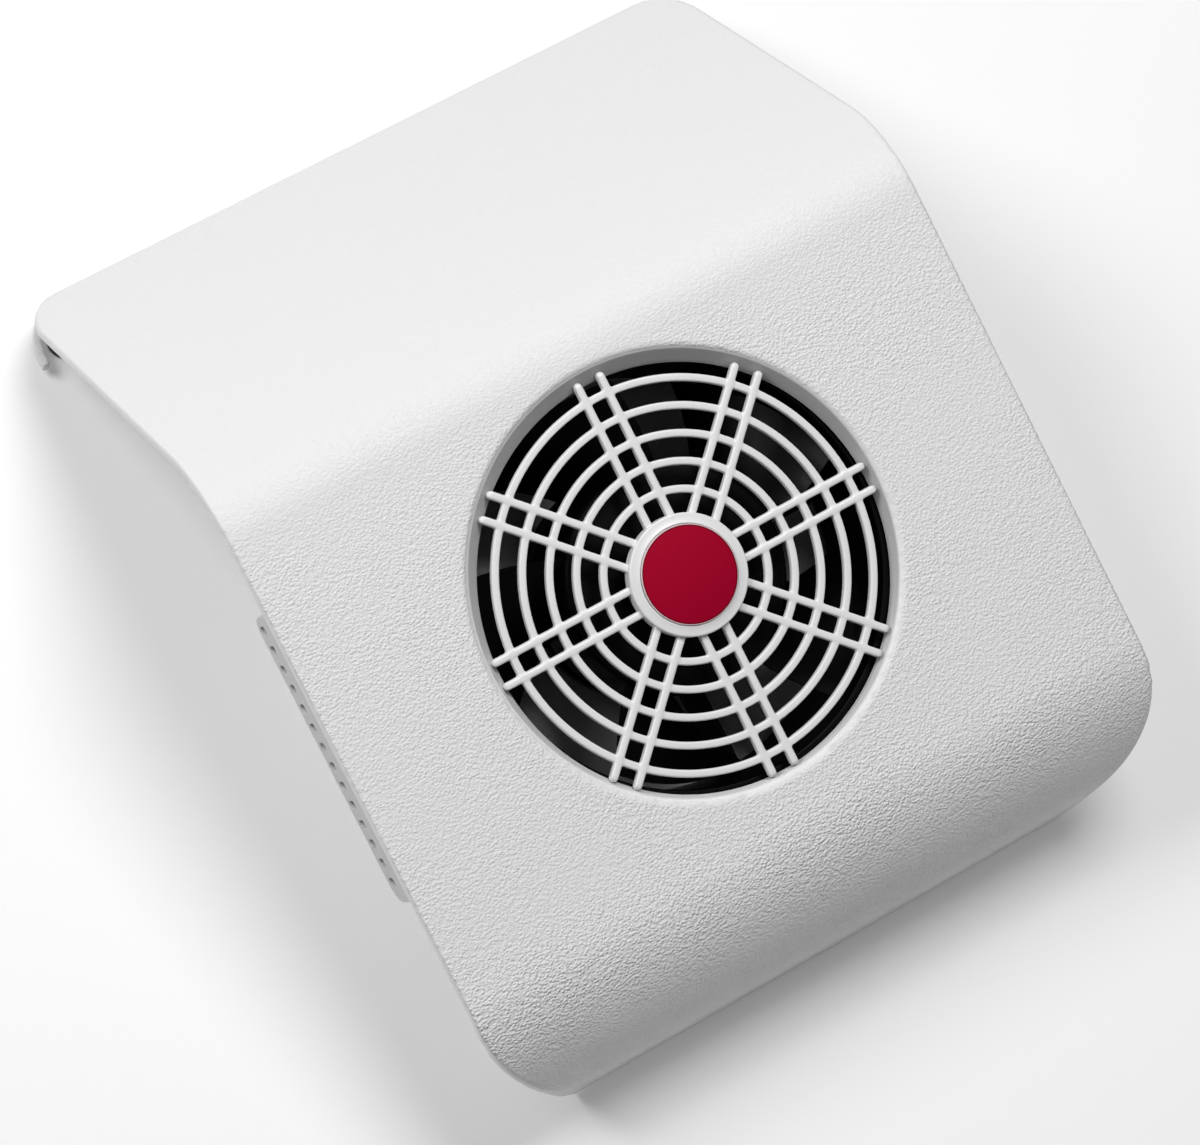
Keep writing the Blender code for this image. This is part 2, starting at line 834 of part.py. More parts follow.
# The switch's pivot, in the same directions as the wings' rear face.
switch_frame = add_frame("switch_frame", (wing_center_x, switch_center_drop, fit_gap),
                         parent=wing_rear_frame)


def switch_hole_corners():
    along = wing_shift + wing_half_length
    low = (wing_center_x - switch_half_x - fit_gap, along - case_wall - cut_overrun,
           -switch_center_drop - switch_half_y - fit_gap)
    high = (wing_center_x + switch_half_x + fit_gap, along + cut_overrun,
            -switch_center_drop + switch_half_y + fit_gap)
    return low, high


def make_side_vents():
    half = wing_half_length
    top = -underside_inset - fit_gap
    for side, sign in (("left", -1), ("right", 1)):
        corners = [
            (wing_shift - half, -wing_depth),
            (wing_shift + half, -wing_depth),
            (wing_shift + half, top),
            (wing_shift - half, top),
        ]
        outlines = [round_corners(corners, [vent_corner_radius, vent_corner_radius, 0, 0])]
        slot_half = vent_slot_width / 2
        slot_middle = -(vent_slot_top + vent_slot_bottom) / 2
        slot_half_height = (vent_slot_bottom - vent_slot_top) / 2
        for index in range(vent_slot_count):
            along = wing_shift + vent_slot_shift + (index - (vent_slot_count - 1) / 2) * vent_slot_pitch
            outlines.append(rounded_rectangle(slot_half, slot_half_height, slot_half * oval_share,
                                              (along, slot_middle), slot_corner_steps))
        x = sign * (cover_width / 2 - vent_edge_inset - vent_plate_wall / 2)
        outline_solid("side_vent_" + side, outlines, vent_plate_wall, white_plastic, slope_frame,
                      (x, 0, 0), side_view)


def make_screw(name, parent, location, length):
    """A pan head screw that points up its parent's Z from the underside of its head."""
    turned(name, [
        (0, length),
        (screw_shank_radius * screw_tip_share, length),
        (screw_shank_radius, length - screw_shank_radius),
        (screw_shank_radius, 0),
        (screw_head_radius, 0),
        (screw_head_radius, -screw_head_height * screw_edge_share),
        (screw_head_radius * screw_crown_share, -screw_head_height),
        (0, -screw_head_height),
    ], steel, parent, location, steps=screw_steps)


def make_screws():
    for index, place in enumerate(fan_screw_places(), 1):
        seat = frame_top - ear_thickness - fit_gap
        make_screw(f"fan_screw_{index}", slope_frame, (*place, seat), fan_screw_length)
    for index, place in enumerate(case_post_places(), 1):
        seat = boss_bottom(place[1]) - fit_gap - case_screw_seat - case_wall / 2 - fit_gap
        make_screw(f"case_screw_{index}", None, (*place, seat), case_screw_length)


def make_fan_frame():
    frame = turned("fan_frame", [
        (frame_radius, frame_top),
        (frame_radius, frame_bottom),
        (frame_bore_radius, frame_bottom),
        (frame_bore_radius, frame_top),
    ], black_plastic, slope_frame, closed=True)
    ears = []
    for index, place in enumerate(fan_screw_places()):
        ears.append(cylinder(f"frame_ear_{index}", ear_radius, frame_top - ear_thickness,
                             frame_top - fit_gap / 2, parent=slope_frame, at=place))
    join(frame, merged("frame_ears", ears, slope_frame))
    webs = []
    web_half = ear_radius * ear_web_share
    web_start = frame_bore_radius + frame_wall / 2
    for turn in range(fan_screw_count):
        web = box(f"frame_ear_web_{turn}",
                  (web_start, -web_half, frame_top - ear_thickness + fit_gap / 2),
                  (ear_reach, web_half, frame_top - fit_gap), parent=slope_frame)
        web.matrix_basis = Matrix.Rotation(fan_screw_angle(turn), 4, "Z") @ web.matrix_basis
        webs.append(web)
    join(frame, merged("frame_ear_webs", webs, slope_frame))
    base = turned("frame_base", [
        (motor_base_radius, base_top),
        (motor_base_radius, frame_bottom + fit_gap / 2),
        (bearing_seat_radius - bearing_stop, frame_bottom + fit_gap / 2),
        (bearing_seat_radius - bearing_stop, frame_bottom + base_stop_height),
        (bearing_seat_radius, frame_bottom + base_stop_height),
        (bearing_seat_radius, tube_top),
        (bearing_tube_radius, tube_top),
        (bearing_tube_radius, base_top),
    ], parent=slope_frame, closed=True)
    # The profile above starts at the rim of the base, so its outer side still runs down first.
    join(frame, base)
    struts = []
    for turn in range(strut_count):
        strut = box(f"frame_strut_{turn}",
                    (motor_base_radius - strut_width / 2, -strut_width / 2, frame_bottom + fit_gap),
                    (frame_bore_radius + frame_wall / 2, strut_width / 2, base_top - fit_gap),
                    parent=slope_frame)
        strut.matrix_basis = Matrix.Rotation(turn * 2 * math.pi / strut_count, 4, "Z") @ strut.matrix_basis
        struts.append(strut)
    join(frame, merged("frame_struts", struts, slope_frame))
    holes = []
    for index, place in enumerate(fan_screw_places()):
        holes.append(cylinder(f"ear_hole_{index}", screw_shank_radius + fit_gap,
                              frame_top - ear_thickness - cut_overrun, frame_top + cut_overrun,
                              parent=slope_frame, at=place))
    cut(frame, merged("ear_holes", holes, slope_frame))
    return frame


def make_bearings():
    """Two sleeve bearings in the tube, one on its bottom stop and one at its top."""
    rear_bottom = frame_bottom + base_stop_height + fit_gap
    front_top = tube_top - fit_gap
    for name, bottom in (("rear_bearing", rear_bottom), ("front_bearing", front_top - bearing_length)):
        turned(name, [
            (bearing_radius, bottom + bearing_length),
            (bearing_radius, bottom),
            (shaft_radius + fit_gap, bottom),
            (shaft_radius + fit_gap, bottom + bearing_length),
        ], brass, slope_frame, closed=True, steps=small_round_steps)


def make_stator():
    """A four pole laminated core round the bearing tube, with a coil round each pole."""
    shoe_inner = core_radius - pole_shoe_thickness
    core = turned("stator_core", [
        (core_body_radius, core_bottom + core_length),
        (core_body_radius, core_bottom),
        (bearing_tube_radius + fit_gap, core_bottom),
        (bearing_tube_radius + fit_gap, core_bottom + core_length),
    ], core_steel, slope_frame, closed=True, steps=small_round_steps * 2)
    arms = []
    shoes = []
    for turn in range(pole_count):
        angle = math.pi / 4 + turn * 2 * math.pi / pole_count
        arm = box(f"pole_arm_{turn}",
                  (core_body_radius - pole_shoe_thickness, -pole_width / 2, core_bottom + fit_gap),
                  (core_radius - pole_shoe_thickness / 2, pole_width / 2,
                   core_bottom + core_length - fit_gap),
                  parent=slope_frame)
        arm.matrix_basis = Matrix.Rotation(angle, 4, "Z") @ arm.matrix_basis
        arms.append(arm)
        outline = []
        for radius, way in ((core_radius, 1), (shoe_inner, -1)):
            for step in range(corner_steps + 1):
                place = angle + way * pole_shoe_half_angle * (2 * step / corner_steps - 1)
                outline.append((radius * math.cos(place), radius * math.sin(place)))
        shoes.append(outline_solid(f"pole_shoe_{turn}", [outline], core_length, parent=slope_frame,
                                   location=(0, 0, core_bottom + core_length / 2)))
    join(core, merged("pole_arms", arms, slope_frame))
    join(core, merged("pole_shoes", shoes, slope_frame))
    for turn in range(pole_count):
        angle = math.pi / 4 + turn * 2 * math.pi / pole_count
        make_field_coil(f"field_coil_{turn + 1}", angle, shoe_inner)


def make_field_coil(name, angle, shoe_inner):
    inner_x = pole_width / 2 + fit_gap
    inner_z = core_length / 2 + fit_gap
    start = core_body_radius + fit_gap * 2
    end = math.sqrt((shoe_inner - fit_gap) ** 2 - (inner_x + coil_wall) ** 2) - fit_gap
    window = rounded_rectangle(inner_x, inner_z, coil_wall * oval_share / 2)
    outside = rounded_rectangle(inner_x + coil_wall, inner_z + coil_wall, coil_wall * oval_share)
    coil = outline_solid(name, [outside, window], end - start, copper_winding, slope_frame)
    spin = Matrix.Rotation(angle, 4, "Z")
    shift = Matrix.Translation(((start + end) / 2, 0, core_bottom + core_length / 2))
    stand = Matrix.Rotation(math.pi / 2, 4, "Z") @ Matrix.Rotation(math.pi / 2, 4, "X")
    coil.matrix_basis = spin @ shift @ stand


def make_impeller():
    top = -impeller_top
    skirt_bottom = top - hub_skirt_length
    skirt_inner = rotor_outer_radius + fit_gap
    under_top = top - hub_top_thickness
    impeller = turned("impeller", [
        (0, top),
        (hub_radius - hub_top_thickness, top),
        (hub_radius, top - hub_top_thickness),
        (hub_radius, skirt_bottom),
        (skirt_inner, skirt_bottom),
        (skirt_inner, under_top),
        (hub_boss_radius, under_top),
        (hub_boss_radius, under_top - hub_boss_length),
        (shaft_radius + fit_gap / 2, under_top - hub_boss_length),
        (shaft_radius + fit_gap / 2, under_top),
        (0, under_top),
    ], black_plastic, slope_frame)
    blades = [make_blade(index) for index in range(blade_count)]
    join(impeller, merged("impeller_blades", blades, slope_frame))
    return impeller


def make_blade(index):
    """One twisted blade, wider at its tip, from inside the hub's wall to its tip."""
    root = (rotor_outer_radius + hub_radius) / 2 + fit_gap
    tip = frame_bore_radius - blade_tip_clearance
    lead = -impeller_top - blade_lead_drop
    points = []
    for across in range(blade_steps_across + 1):
        share = across / blade_steps_across
        radius = root + (tip - root) * share
        sweep = blade_root_sweep + (blade_tip_sweep - blade_root_sweep) * share
        for along in range(blade_steps_along + 1):
            travel = along / blade_steps_along
            angle = index * 2 * math.pi / blade_count + sweep * travel + blade_lean * share
            bulge = blade_camber * math.sin(math.pi * travel)
            height = lead - blade_height * travel + bulge
            points.append((radius * math.cos(angle), radius * math.sin(angle), height))
    row = blade_steps_along + 1
    faces = []
    for across in range(blade_steps_across):
        for along in range(blade_steps_along):
            first = across * row + along
            faces.append((first, first + 1, first + row + 1, first + row))
    mesh = bpy.data.meshes.new(f"blade_{index}")
    mesh.from_pydata(points, [], faces)
    blade = add_object(f"blade_{index}", mesh, None, slope_frame)
    thicken = blade.modifiers.new("thickness", "SOLIDIFY")
    thicken.thickness = blade_thickness
    thicken.offset = 0
    return blade


def make_rotor():
    """The steel ring inside the hub, the shaft on which it turns and the clip that holds the shaft."""
    ring_top = -impeller_top - hub_top_thickness - fit_gap
    turned("rotor_ring", [
        (rotor_outer_radius, ring_top),
        (rotor_outer_radius, ring_top - rotor_ring_length),
        (rotor_outer_radius - rotor_ring_wall, ring_top - rotor_ring_length),
        (rotor_outer_radius - rotor_ring_wall, ring_top),
    ], core_steel, slope_frame, closed=True)
    shaft_top = -impeller_top - hub_top_thickness - fit_gap
    shaft_bottom = frame_bottom + fit_gap
    groove_top = frame_bottom + base_stop_height - fit_gap
    groove_bottom = groove_top - shaft_clip_thickness + fit_gap
    turned("rotor_shaft", [
        (0, shaft_top),
        (shaft_radius, shaft_top),
        (shaft_radius, shaft_bottom),
        (0, shaft_bottom),
    ], steel, slope_frame, steps=small_round_steps)
    turned("shaft_clip", [
        (shaft_clip_radius, groove_top),
        (shaft_clip_radius, groove_bottom),
        (shaft_radius + fit_gap / 2, groove_bottom),
        (shaft_radius + fit_gap / 2, groove_top),
    ], steel, slope_frame, closed=True, steps=small_round_steps)


def make_grille():
    ring_top = -ring_top_drop
    ring_bottom = ring_top - ring_thickness
    hub_top = ring_top + grille_hub_rise
    hub_bottom = hub_top - grille_hub_thickness
    grille = turned("fan_grille", [
        (0, hub_top),
        (grille_hub_radius - grille_hub_edge, hub_top),
        (grille_hub_radius, hub_top - grille_hub_edge),
        (grille_hub_radius, hub_bottom),
        (0, hub_bottom),
    ], grille_plastic, slope_frame)
    rings = []
    for index in range(ring_count):
        radius = first_ring_radius + index * ring_pitch
        rings.append(turned(f"grille_ring_{index}", [
            (radius + bar_width / 2, ring_top),
            (radius + bar_width / 2, ring_bottom),
            (radius - bar_width / 2, ring_bottom),
            (radius - bar_width / 2, ring_top),
        ], parent=slope_frame, closed=True))
    join(grille, merged("grille_rings", rings, slope_frame))
    spokes = []
    start = grille_hub_radius - bar_width
    side = spoke_pair_spacing / 2
    end = math.sqrt(spoke_end_radius ** 2 - (side + bar_width / 2) ** 2)
    for pair in range(spoke_pair_count):
        turn = Matrix.Rotation(pair * 2 * math.pi / spoke_pair_count, 4, "Z")
        for sign in (-1, 1):
            half = bar_width / 2
            corners = [
                (start, sign * side - half),
                (end, sign * side - half),
                (end, sign * side + half),
                (start, sign * side + half),
            ]
            outline = round_corners(corners, [0, half * oval_share, half * oval_share, 0], bar_end_steps)
            spoke = outline_solid(f"spoke_{pair}_{sign}", [outline], ring_thickness + spoke_proud * 2,
                                  parent=slope_frame, location=(0, 0, (ring_top + ring_bottom) / 2))
            spoke.matrix_basis = turn @ spoke.matrix_basis
            spokes.append(spoke)
    join(grille, merged("grille_spokes", spokes, slope_frame))
    turned("hub_label", [
        (0, hub_top + fit_gap + label_thickness),
        (label_radius, hub_top + fit_gap + label_thickness),
        (label_radius, hub_top + fit_gap),
        (0, hub_top + fit_gap),
    ], label_red, slope_frame)


def oval(half_width, half_height):
    return rounded_rectangle(half_width, half_height, half_height * oval_share)


def standing_oval(name, grow_outside, grow_inside, start, end, material=None):
    """An oval ring round the outlet, from start to end behind the case."""
    middle = (0, case_rear_y + (start + end) / 2, outlet_height)
    outline = oval(outlet_half_width + grow_outside, outlet_half_height + grow_outside)
    upright = (math.pi / 2, 0, 0)
    ring = outline_solid(name, [outline], end - start, material, location=middle, rotation=upright)
    if grow_inside is not None:
        bore = oval(outlet_half_width + grow_inside, outlet_half_height + grow_inside)
        cut(ring, outline_solid(name + "_bore", [bore], end - start + cut_overrun, location=middle,
                                rotation=upright))
    return ring


def make_outlet():
    collar = standing_oval("outlet_collar", 0, -outlet_wall, fit_gap, outlet_length, white_plastic)
    flange = standing_oval("outlet_flange", outlet_flange_reach, -outlet_wall / 2, fit_gap * 2,
                           fit_gap + outlet_flange_thickness)
    join(collar, flange)


def make_bag():
    frame_start = outlet_flange_thickness + bag_frame_start
    standing_oval("bag_frame", fit_gap + bag_frame_wall, fit_gap, frame_start, bag_frame_end, black_plastic)
    neck_inside = fit_gap * 2 + bag_frame_wall
    neck_outside = neck_inside + bag_neck_wall
    bag = soft_bag("dust_bag")
    neck = standing_oval("bag_neck", neck_outside, neck_inside, frame_start + bag_neck_wall,
                         bag_body_start + bag_neck_wall)
    join(bag, neck)
    elastic_middle = frame_start + bag_neck_wall + elastic_width
    standing_oval("bag_elastic", neck_outside + fit_gap + elastic_thickness, neck_outside + fit_gap,
                  elastic_middle - elastic_width / 2, elastic_middle + elastic_width / 2, rubber)
    mouth = standing_oval("bag_mouth", -outlet_wall, None, bag_body_start - cut_overrun,
                          bag_body_start + bag_mouth_depth)
    cut(bag, mouth)


def soft_bag(name):
    """A filled bag in the hollow behind the case: a wedge under the cover's rear slope."""
    back = bag_front_y + bag_length
    top_y = bag_front_y + bag_top_length
    outline = [
        (bag_front_y, bag_bottom + bag_swell),
        (back, bag_bottom + bag_swell),
        (back - bag_swell, bag_ceiling(back - bag_swell)),
        (top_y, bag_ceiling(top_y)),
        (bag_front_y, bag_ceiling(top_y)),
    ]
    corners = round_corners(outline, [bag_swell] * len(outline), bag_edge_steps)
    bag = outline_solid(name, [corners], bag_half_width * 2, bag_cloth, rotation=side_view)
    edge = bag.modifiers.new("soft_edges", "BEVEL")
    edge.width = bag_swell
    edge.segments = bag_edge_steps
    edge.limit_method = "ANGLE"
    edge.angle_limit = math.radians(40)
    edge.use_clamp_overlap = True
    return bag


def make_switch():
    """A rocker switch in the right wing's rear face. It rests in its off position."""
    bezel_x = switch_half_x + switch_bezel_reach
    bezel_y = switch_half_y + switch_bezel_reach
    bezel = box("switch_body", (-bezel_x, -bezel_y, 0), (bezel_x, bezel_y, switch_bezel_thickness),
                black_plastic, switch_frame)
    join(bezel, box("switch_can", (-switch_half_x, -switch_half_y, -switch_body_depth),
                    (switch_half_x, switch_half_y, switch_bezel_thickness / 2), parent=switch_frame))
    inner_x = switch_half_x - switch_wall
    inner_y = switch_half_y - switch_wall
    well = box("switch_well", (-inner_x, -inner_y, -switch_well_depth), (inner_x, inner_y, cut_overrun),
               parent=switch_frame)
    pin_end = rocker_width / 2 + rocker_pin_reach
    pockets = cylinder("rocker_pin_pockets", rocker_pin_radius + fit_gap, -pin_end - fit_gap,
                       pin_end + fit_gap, parent=switch_frame)
    pockets.rotation_euler = (math.pi / 2, 0, 0)
    pockets.location = (0, 0, 0)
    slots = []
    for sign in (-1, 1):
        x = sign * terminal_tab_spacing / 2
        half_x = terminal_tab_thickness / 2
        half_y = terminal_tab_width / 2
        bottom = -switch_body_depth
        slots.append(box(f"tab_slot_{sign}", (x - half_x - fit_gap, -half_y - fit_gap, bottom - cut_overrun),
                         (x + half_x + fit_gap, half_y + fit_gap, bottom + terminal_tab_embed + fit_gap),
                         parent=switch_frame))
        box("switch_tab_" + ("line" if sign < 0 else "load"),
            (x - half_x, -half_y, bottom + terminal_tab_embed - terminal_tab_length),
            (x + half_x, half_y, bottom + terminal_tab_embed), brass, switch_frame)
    cut(bezel, well, pockets, merged("tab_slots", slots, switch_frame))

    outline = [
        (-rocker_half_length, -rocker_keel),
        (rocker_half_length, -rocker_keel),
        (rocker_half_length, rocker_lip_height),
        (0, rocker_dip_height),
        (-rocker_half_length, rocker_lip_height),
    ]
    rocker = outline_solid("switch_rocker", [outline], rocker_width, black_plastic, switch_frame,
                           rotation=(math.pi / 2, 0, 0))
    pin = cylinder("rocker_pin", rocker_pin_radius, -pin_end, pin_end, parent=switch_frame)
    pin.rotation_euler = (math.pi / 2, 0, 0)
    pin.location = (0, 0, 0)
    join(rocker, pin)
    rocker.matrix_basis = Matrix.Rotation(rocker_tilt, 4, "Y") @ rocker.matrix_basis


def make_gland():
    turned("cord_gland", [
        (gland_flange_radius, gland_flange_thickness + fit_gap),
        (gland_flange_radius, fit_gap),
        (gland_radius, fit_gap),
        (gland_radius, -gland_length),
        (gland_bore_radius, -gland_length),
        (gland_bore_radius, gland_flange_thickness + fit_gap),
    ], rubber, wing_rear_frame, (-wing_center_x, gland_center_drop, 0), closed=True, steps=small_round_steps)


def make_terminal_block():
    floor = case_wall - wing_depth + fit_gap
    half_x = block_width / 2
    half_y = block_length / 2
    block = box("terminal_block", (-wing_center_x - half_x, block_center_along - half_y, floor),
                (-wing_center_x + half_x, block_center_along + half_y, floor + block_height),
                white_plastic, slope_frame)
    wells = []
    top = floor + block_height
    for index, sign in enumerate((-1, 1), 1):
        place = (-wing_center_x, block_center_along + sign * block_screw_spacing / 2)
        wells.append(cylinder(f"block_screw_well_{index}", block_screw_radius + fit_gap,
                              top - block_screw_depth - fit_gap, top + cut_overrun,
                              parent=slope_frame, at=place))
        cylinder(f"terminal_screw_{index}", block_screw_radius, top - block_screw_depth,
                 top - block_screw_height, brass, slope_frame, place)
    cut(block, merged("block_screw_wells", wells, slope_frame))


def rounded_route(points):
    """The points of a wire's route, with each corner rounded."""
    places = [Vector(point) for point in points]
    route = [places[0]]
    for before, here, after in zip(places, places[1:], places[2:]):
        start = here + (before - here) * min(lead_bend_share, lead_bend / (before - here).length)
        end = here + (after - here) * min(lead_bend_share, lead_bend / (after - here).length)
        for step in range(lead_bend_steps + 1):
            t = step / lead_bend_steps
            route.append(start * (1 - t) ** 2 + here * (2 * t * (1 - t)) + end * t ** 2)
    route.append(places[-1])
    return route


def make_leads():
    """Insulated wires, in the slope's frame: block to switch round the fan, and block to motor under it."""
    level = -lead_drop
    block_edge = -wing_center_x + block_width / 2 + fit_gap + lead_radius
    wing_rear = wing_shift + wing_half_length
    tab_end = wing_rear + fit_gap - switch_body_depth - terminal_tab_length + terminal_tab_embed
    tab_x = wing_center_x - terminal_tab_spacing / 2
    wall_x = case_half_width
    tube("switch_lead", rounded_route([
        (block_edge, block_center_along + block_screw_spacing / 2, level),
        (-wall_x - case_wall * 2, lead_hole_along, level),
        (-wall_x + case_wall * 2, lead_hole_along, level),
        (-lead_corner_reach, lead_corner_reach, level),
        (-lead_shoulder_x, lead_rear_reach - lead_radius, level),
        (0, lead_rear_reach, level),
        (lead_shoulder_x, lead_rear_reach - lead_radius, level),
        (lead_corner_reach, lead_corner_reach, level),
        (wall_x - case_wall * 2, lead_hole_along, level),
        (wall_x + case_wall * 2, lead_hole_along, level),
        (tab_x, tab_end - lead_radius - fit_gap, -switch_center_drop),
    ]), lead_radius, lead_plastic, slope_frame)
    below = frame_bottom - lead_under_frame
    tube("motor_lead", rounded_route([
        (block_edge, block_center_along - block_screw_spacing / 2, level),
        (-wall_x - case_wall * 2, motor_lead_hole_along, level),
        (-lead_side_x, motor_lead_hole_along, level),
        (-lead_side_x, motor_lead_hole_along, below),
        (-motor_base_radius, 0, below + lead_under_frame / 4),
        (-bearing_tube_radius * 2, 0, frame_bottom - lead_radius - fit_gap / 2),
    ]), lead_radius, lead_plastic, slope_frame)


make_top_cover()
make_feet()
make_lower_case()
make_side_vents()
make_screws()
make_fan_frame()
make_bearings()
make_stator()
make_impeller()
make_rotor()
make_grille()
make_outlet()
make_bag()
make_switch()
make_gland()
make_terminal_block()
make_leads()
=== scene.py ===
import math

import bmesh
import bpy
import numpy as np
from mathutils import Matrix, Vector


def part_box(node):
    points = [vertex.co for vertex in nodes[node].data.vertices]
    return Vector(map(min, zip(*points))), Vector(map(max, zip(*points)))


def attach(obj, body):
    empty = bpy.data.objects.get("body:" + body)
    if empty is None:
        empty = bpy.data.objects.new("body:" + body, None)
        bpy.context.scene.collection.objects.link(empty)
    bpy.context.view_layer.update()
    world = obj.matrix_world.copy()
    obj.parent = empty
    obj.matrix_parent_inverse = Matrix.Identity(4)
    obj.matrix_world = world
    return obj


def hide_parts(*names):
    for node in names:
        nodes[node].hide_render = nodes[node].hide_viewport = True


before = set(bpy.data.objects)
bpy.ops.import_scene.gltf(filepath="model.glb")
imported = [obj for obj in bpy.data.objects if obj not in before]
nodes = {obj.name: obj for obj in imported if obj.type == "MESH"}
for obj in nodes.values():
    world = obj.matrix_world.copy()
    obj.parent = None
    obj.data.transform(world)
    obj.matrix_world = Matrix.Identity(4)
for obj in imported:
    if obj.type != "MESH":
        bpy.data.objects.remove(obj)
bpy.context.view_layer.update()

scene = bpy.context.scene


# Camera: high over the front left corner, turned so that the front points down and to the right
camera = {
    "lens": 143.46,
    "right": (0.8464, -0.5067, 0.1639),
    "up": (0.454, 0.8474, 0.2752),
    "back": (-0.2784, -0.1585, 0.9473),
    "at": (-0.3659, -0.2180, 1.2555),
}


def makeCamera():
    data = bpy.data.cameras.new("camera")
    data.lens = camera["lens"]
    data.sensor_width = 36
    data.sensor_fit = "HORIZONTAL"
    data.clip_start = 0.01
    data.clip_end = 20
    eye = bpy.data.objects.new("camera", data)
    turn = Matrix((camera["right"], camera["up"], camera["back"])).transposed()
    eye.matrix_world = Matrix.Translation(camera["at"]) @ turn.to_4x4()
    scene.collection.objects.link(eye)
    scene.camera = eye
    print("camera set")


makeCamera()


# Small helpers for node materials
def newMaterial(name, colour, roughness, metallic=0.0):
    material = bpy.data.materials.new(name)
    material.use_nodes = True
    shader = material.node_tree.nodes["Principled BSDF"]
    shader.inputs["Base Color"].default_value = (*colour, 1)
    shader.inputs["Roughness"].default_value = roughness
    shader.inputs["Metallic"].default_value = metallic
    return material, material.node_tree, shader


def addNode(tree, kind, **settings):
    node = tree.nodes.new(kind)
    for key, value in settings.items():
        if key in node.inputs:
            node.inputs[key].default_value = value
        else:
            setattr(node, key, value)
    return node


def places(tree, stretch=(1, 1, 1)):
    coordinates = addNode(tree, "ShaderNodeTexCoord")
    mapping = addNode(tree, "ShaderNodeMapping")
    mapping.inputs["Scale"].default_value = stretch
    tree.links.new(coordinates.outputs["Object"], mapping.inputs["Vector"])
    return mapping.outputs["Vector"]


def noise(tree, vector, scale, detail=2.0, rough=0.5, distortion=0.0):
    node = addNode(tree, "ShaderNodeTexNoise", Scale=scale, Detail=detail, Roughness=rough,
                   Distortion=distortion)
    tree.links.new(vector, node.inputs["Vector"])
    return node.outputs["Fac"]


def ramp(tree, value, stops):
    node = addNode(tree, "ShaderNodeValToRGB")
    elements = node.color_ramp.elements
    while len(elements) < len(stops):
        elements.new(0.5)
    for element, (place, colour) in zip(elements, stops):
        element.position = place
        element.color = (*colour, 1)
    tree.links.new(value, node.inputs["Fac"])
    return node.outputs["Color"]


def mathNode(tree, operation, a, b):
    node = addNode(tree, "ShaderNodeMath", operation=operation)
    for socket, value in zip(node.inputs, (a, b)):
        if isinstance(value, (int, float)):
            socket.default_value = value
        else:
            tree.links.new(value, socket)
    return node.outputs["Value"]


def remap(tree, value, low, high, toLow, toHigh):
    node = addNode(tree, "ShaderNodeMapRange")
    for key, number in zip(("From Min", "From Max", "To Min", "To Max"), (low, high, toLow, toHigh)):
        node.inputs[key].default_value = number
    tree.links.new(value, node.inputs["Value"])
    return node.outputs["Result"]


def bump(tree, shader, height, strength, distance, before=None):
    node = addNode(tree, "ShaderNodeBump", Strength=strength, Distance=distance)
    tree.links.new(height, node.inputs["Height"])
    if before is not None:
        tree.links.new(before, node.inputs["Normal"])
    tree.links.new(node.outputs["Normal"], shader.inputs["Normal"])
    return node.outputs["Normal"]


def paint(tree, shader, colour, gloss=None):
    tree.links.new(colour, shader.inputs["Base Color"])
    if gloss is not None:
        tree.links.new(gloss, shader.inputs["Roughness"])


def finishIn(material, *pieces):
    for piece in pieces:
        piece.data.materials.clear()
        piece.data.materials.append(material)


# Moulded plastic with a faint uneven gloss, for the plain parts
def mouldedPlastic(name, colour, roughness, unevenness=0.05, scale=420.0, strength=0.06):
    material, tree, shader = newMaterial(name, colour, roughness)
    where = places(tree)
    broad = noise(tree, where, scale=38.0, detail=3.0)
    fine = noise(tree, where, scale, detail=3.0, rough=0.6)
    low = [channel * 0.96 for channel in colour]
    shade = ramp(tree, broad, ((0.3, low), (0.7, colour)))
    gloss = remap(tree, fine, 0.3, 0.7, roughness - unevenness, roughness + unevenness)
    paint(tree, shader, shade, gloss)
    bump(tree, shader, fine, strength, distance=0.0002)
    return material


coverGrain = {
    # The wall colour and the angle after it paint shade on the recess wall, darkest on its uphill side
    "colour": (0.82, 0.82, 0.825), "wallPaintedShadeColour": (0.47, 0.47, 0.475), "paintedShadeAt": 72.0,
    "roughness": 0.5, "roughSpread": 0.07,
    "pebbleSize": 1350.0, "pebbleStretch": (0.8, 1.05, 1.0),
    "wrinkleSize": 900.0, "wrinkleShare": 0.9, "wander": 0.0007,
    "strength": 1.0, "height": 0.0002,
    "rearFade": (0.012, 0.037), "rearShare": 0.38, "frontRise": (0.085, 0.113), "frontShare": 1.8,
    "rimSlope": (0.05, 0.35), "sideSlope": (0.25, 0.6),
    "recessEdge": (0.0002, 0.0014), "recessReach": 0.02, "recessRearY": 0.04,
}


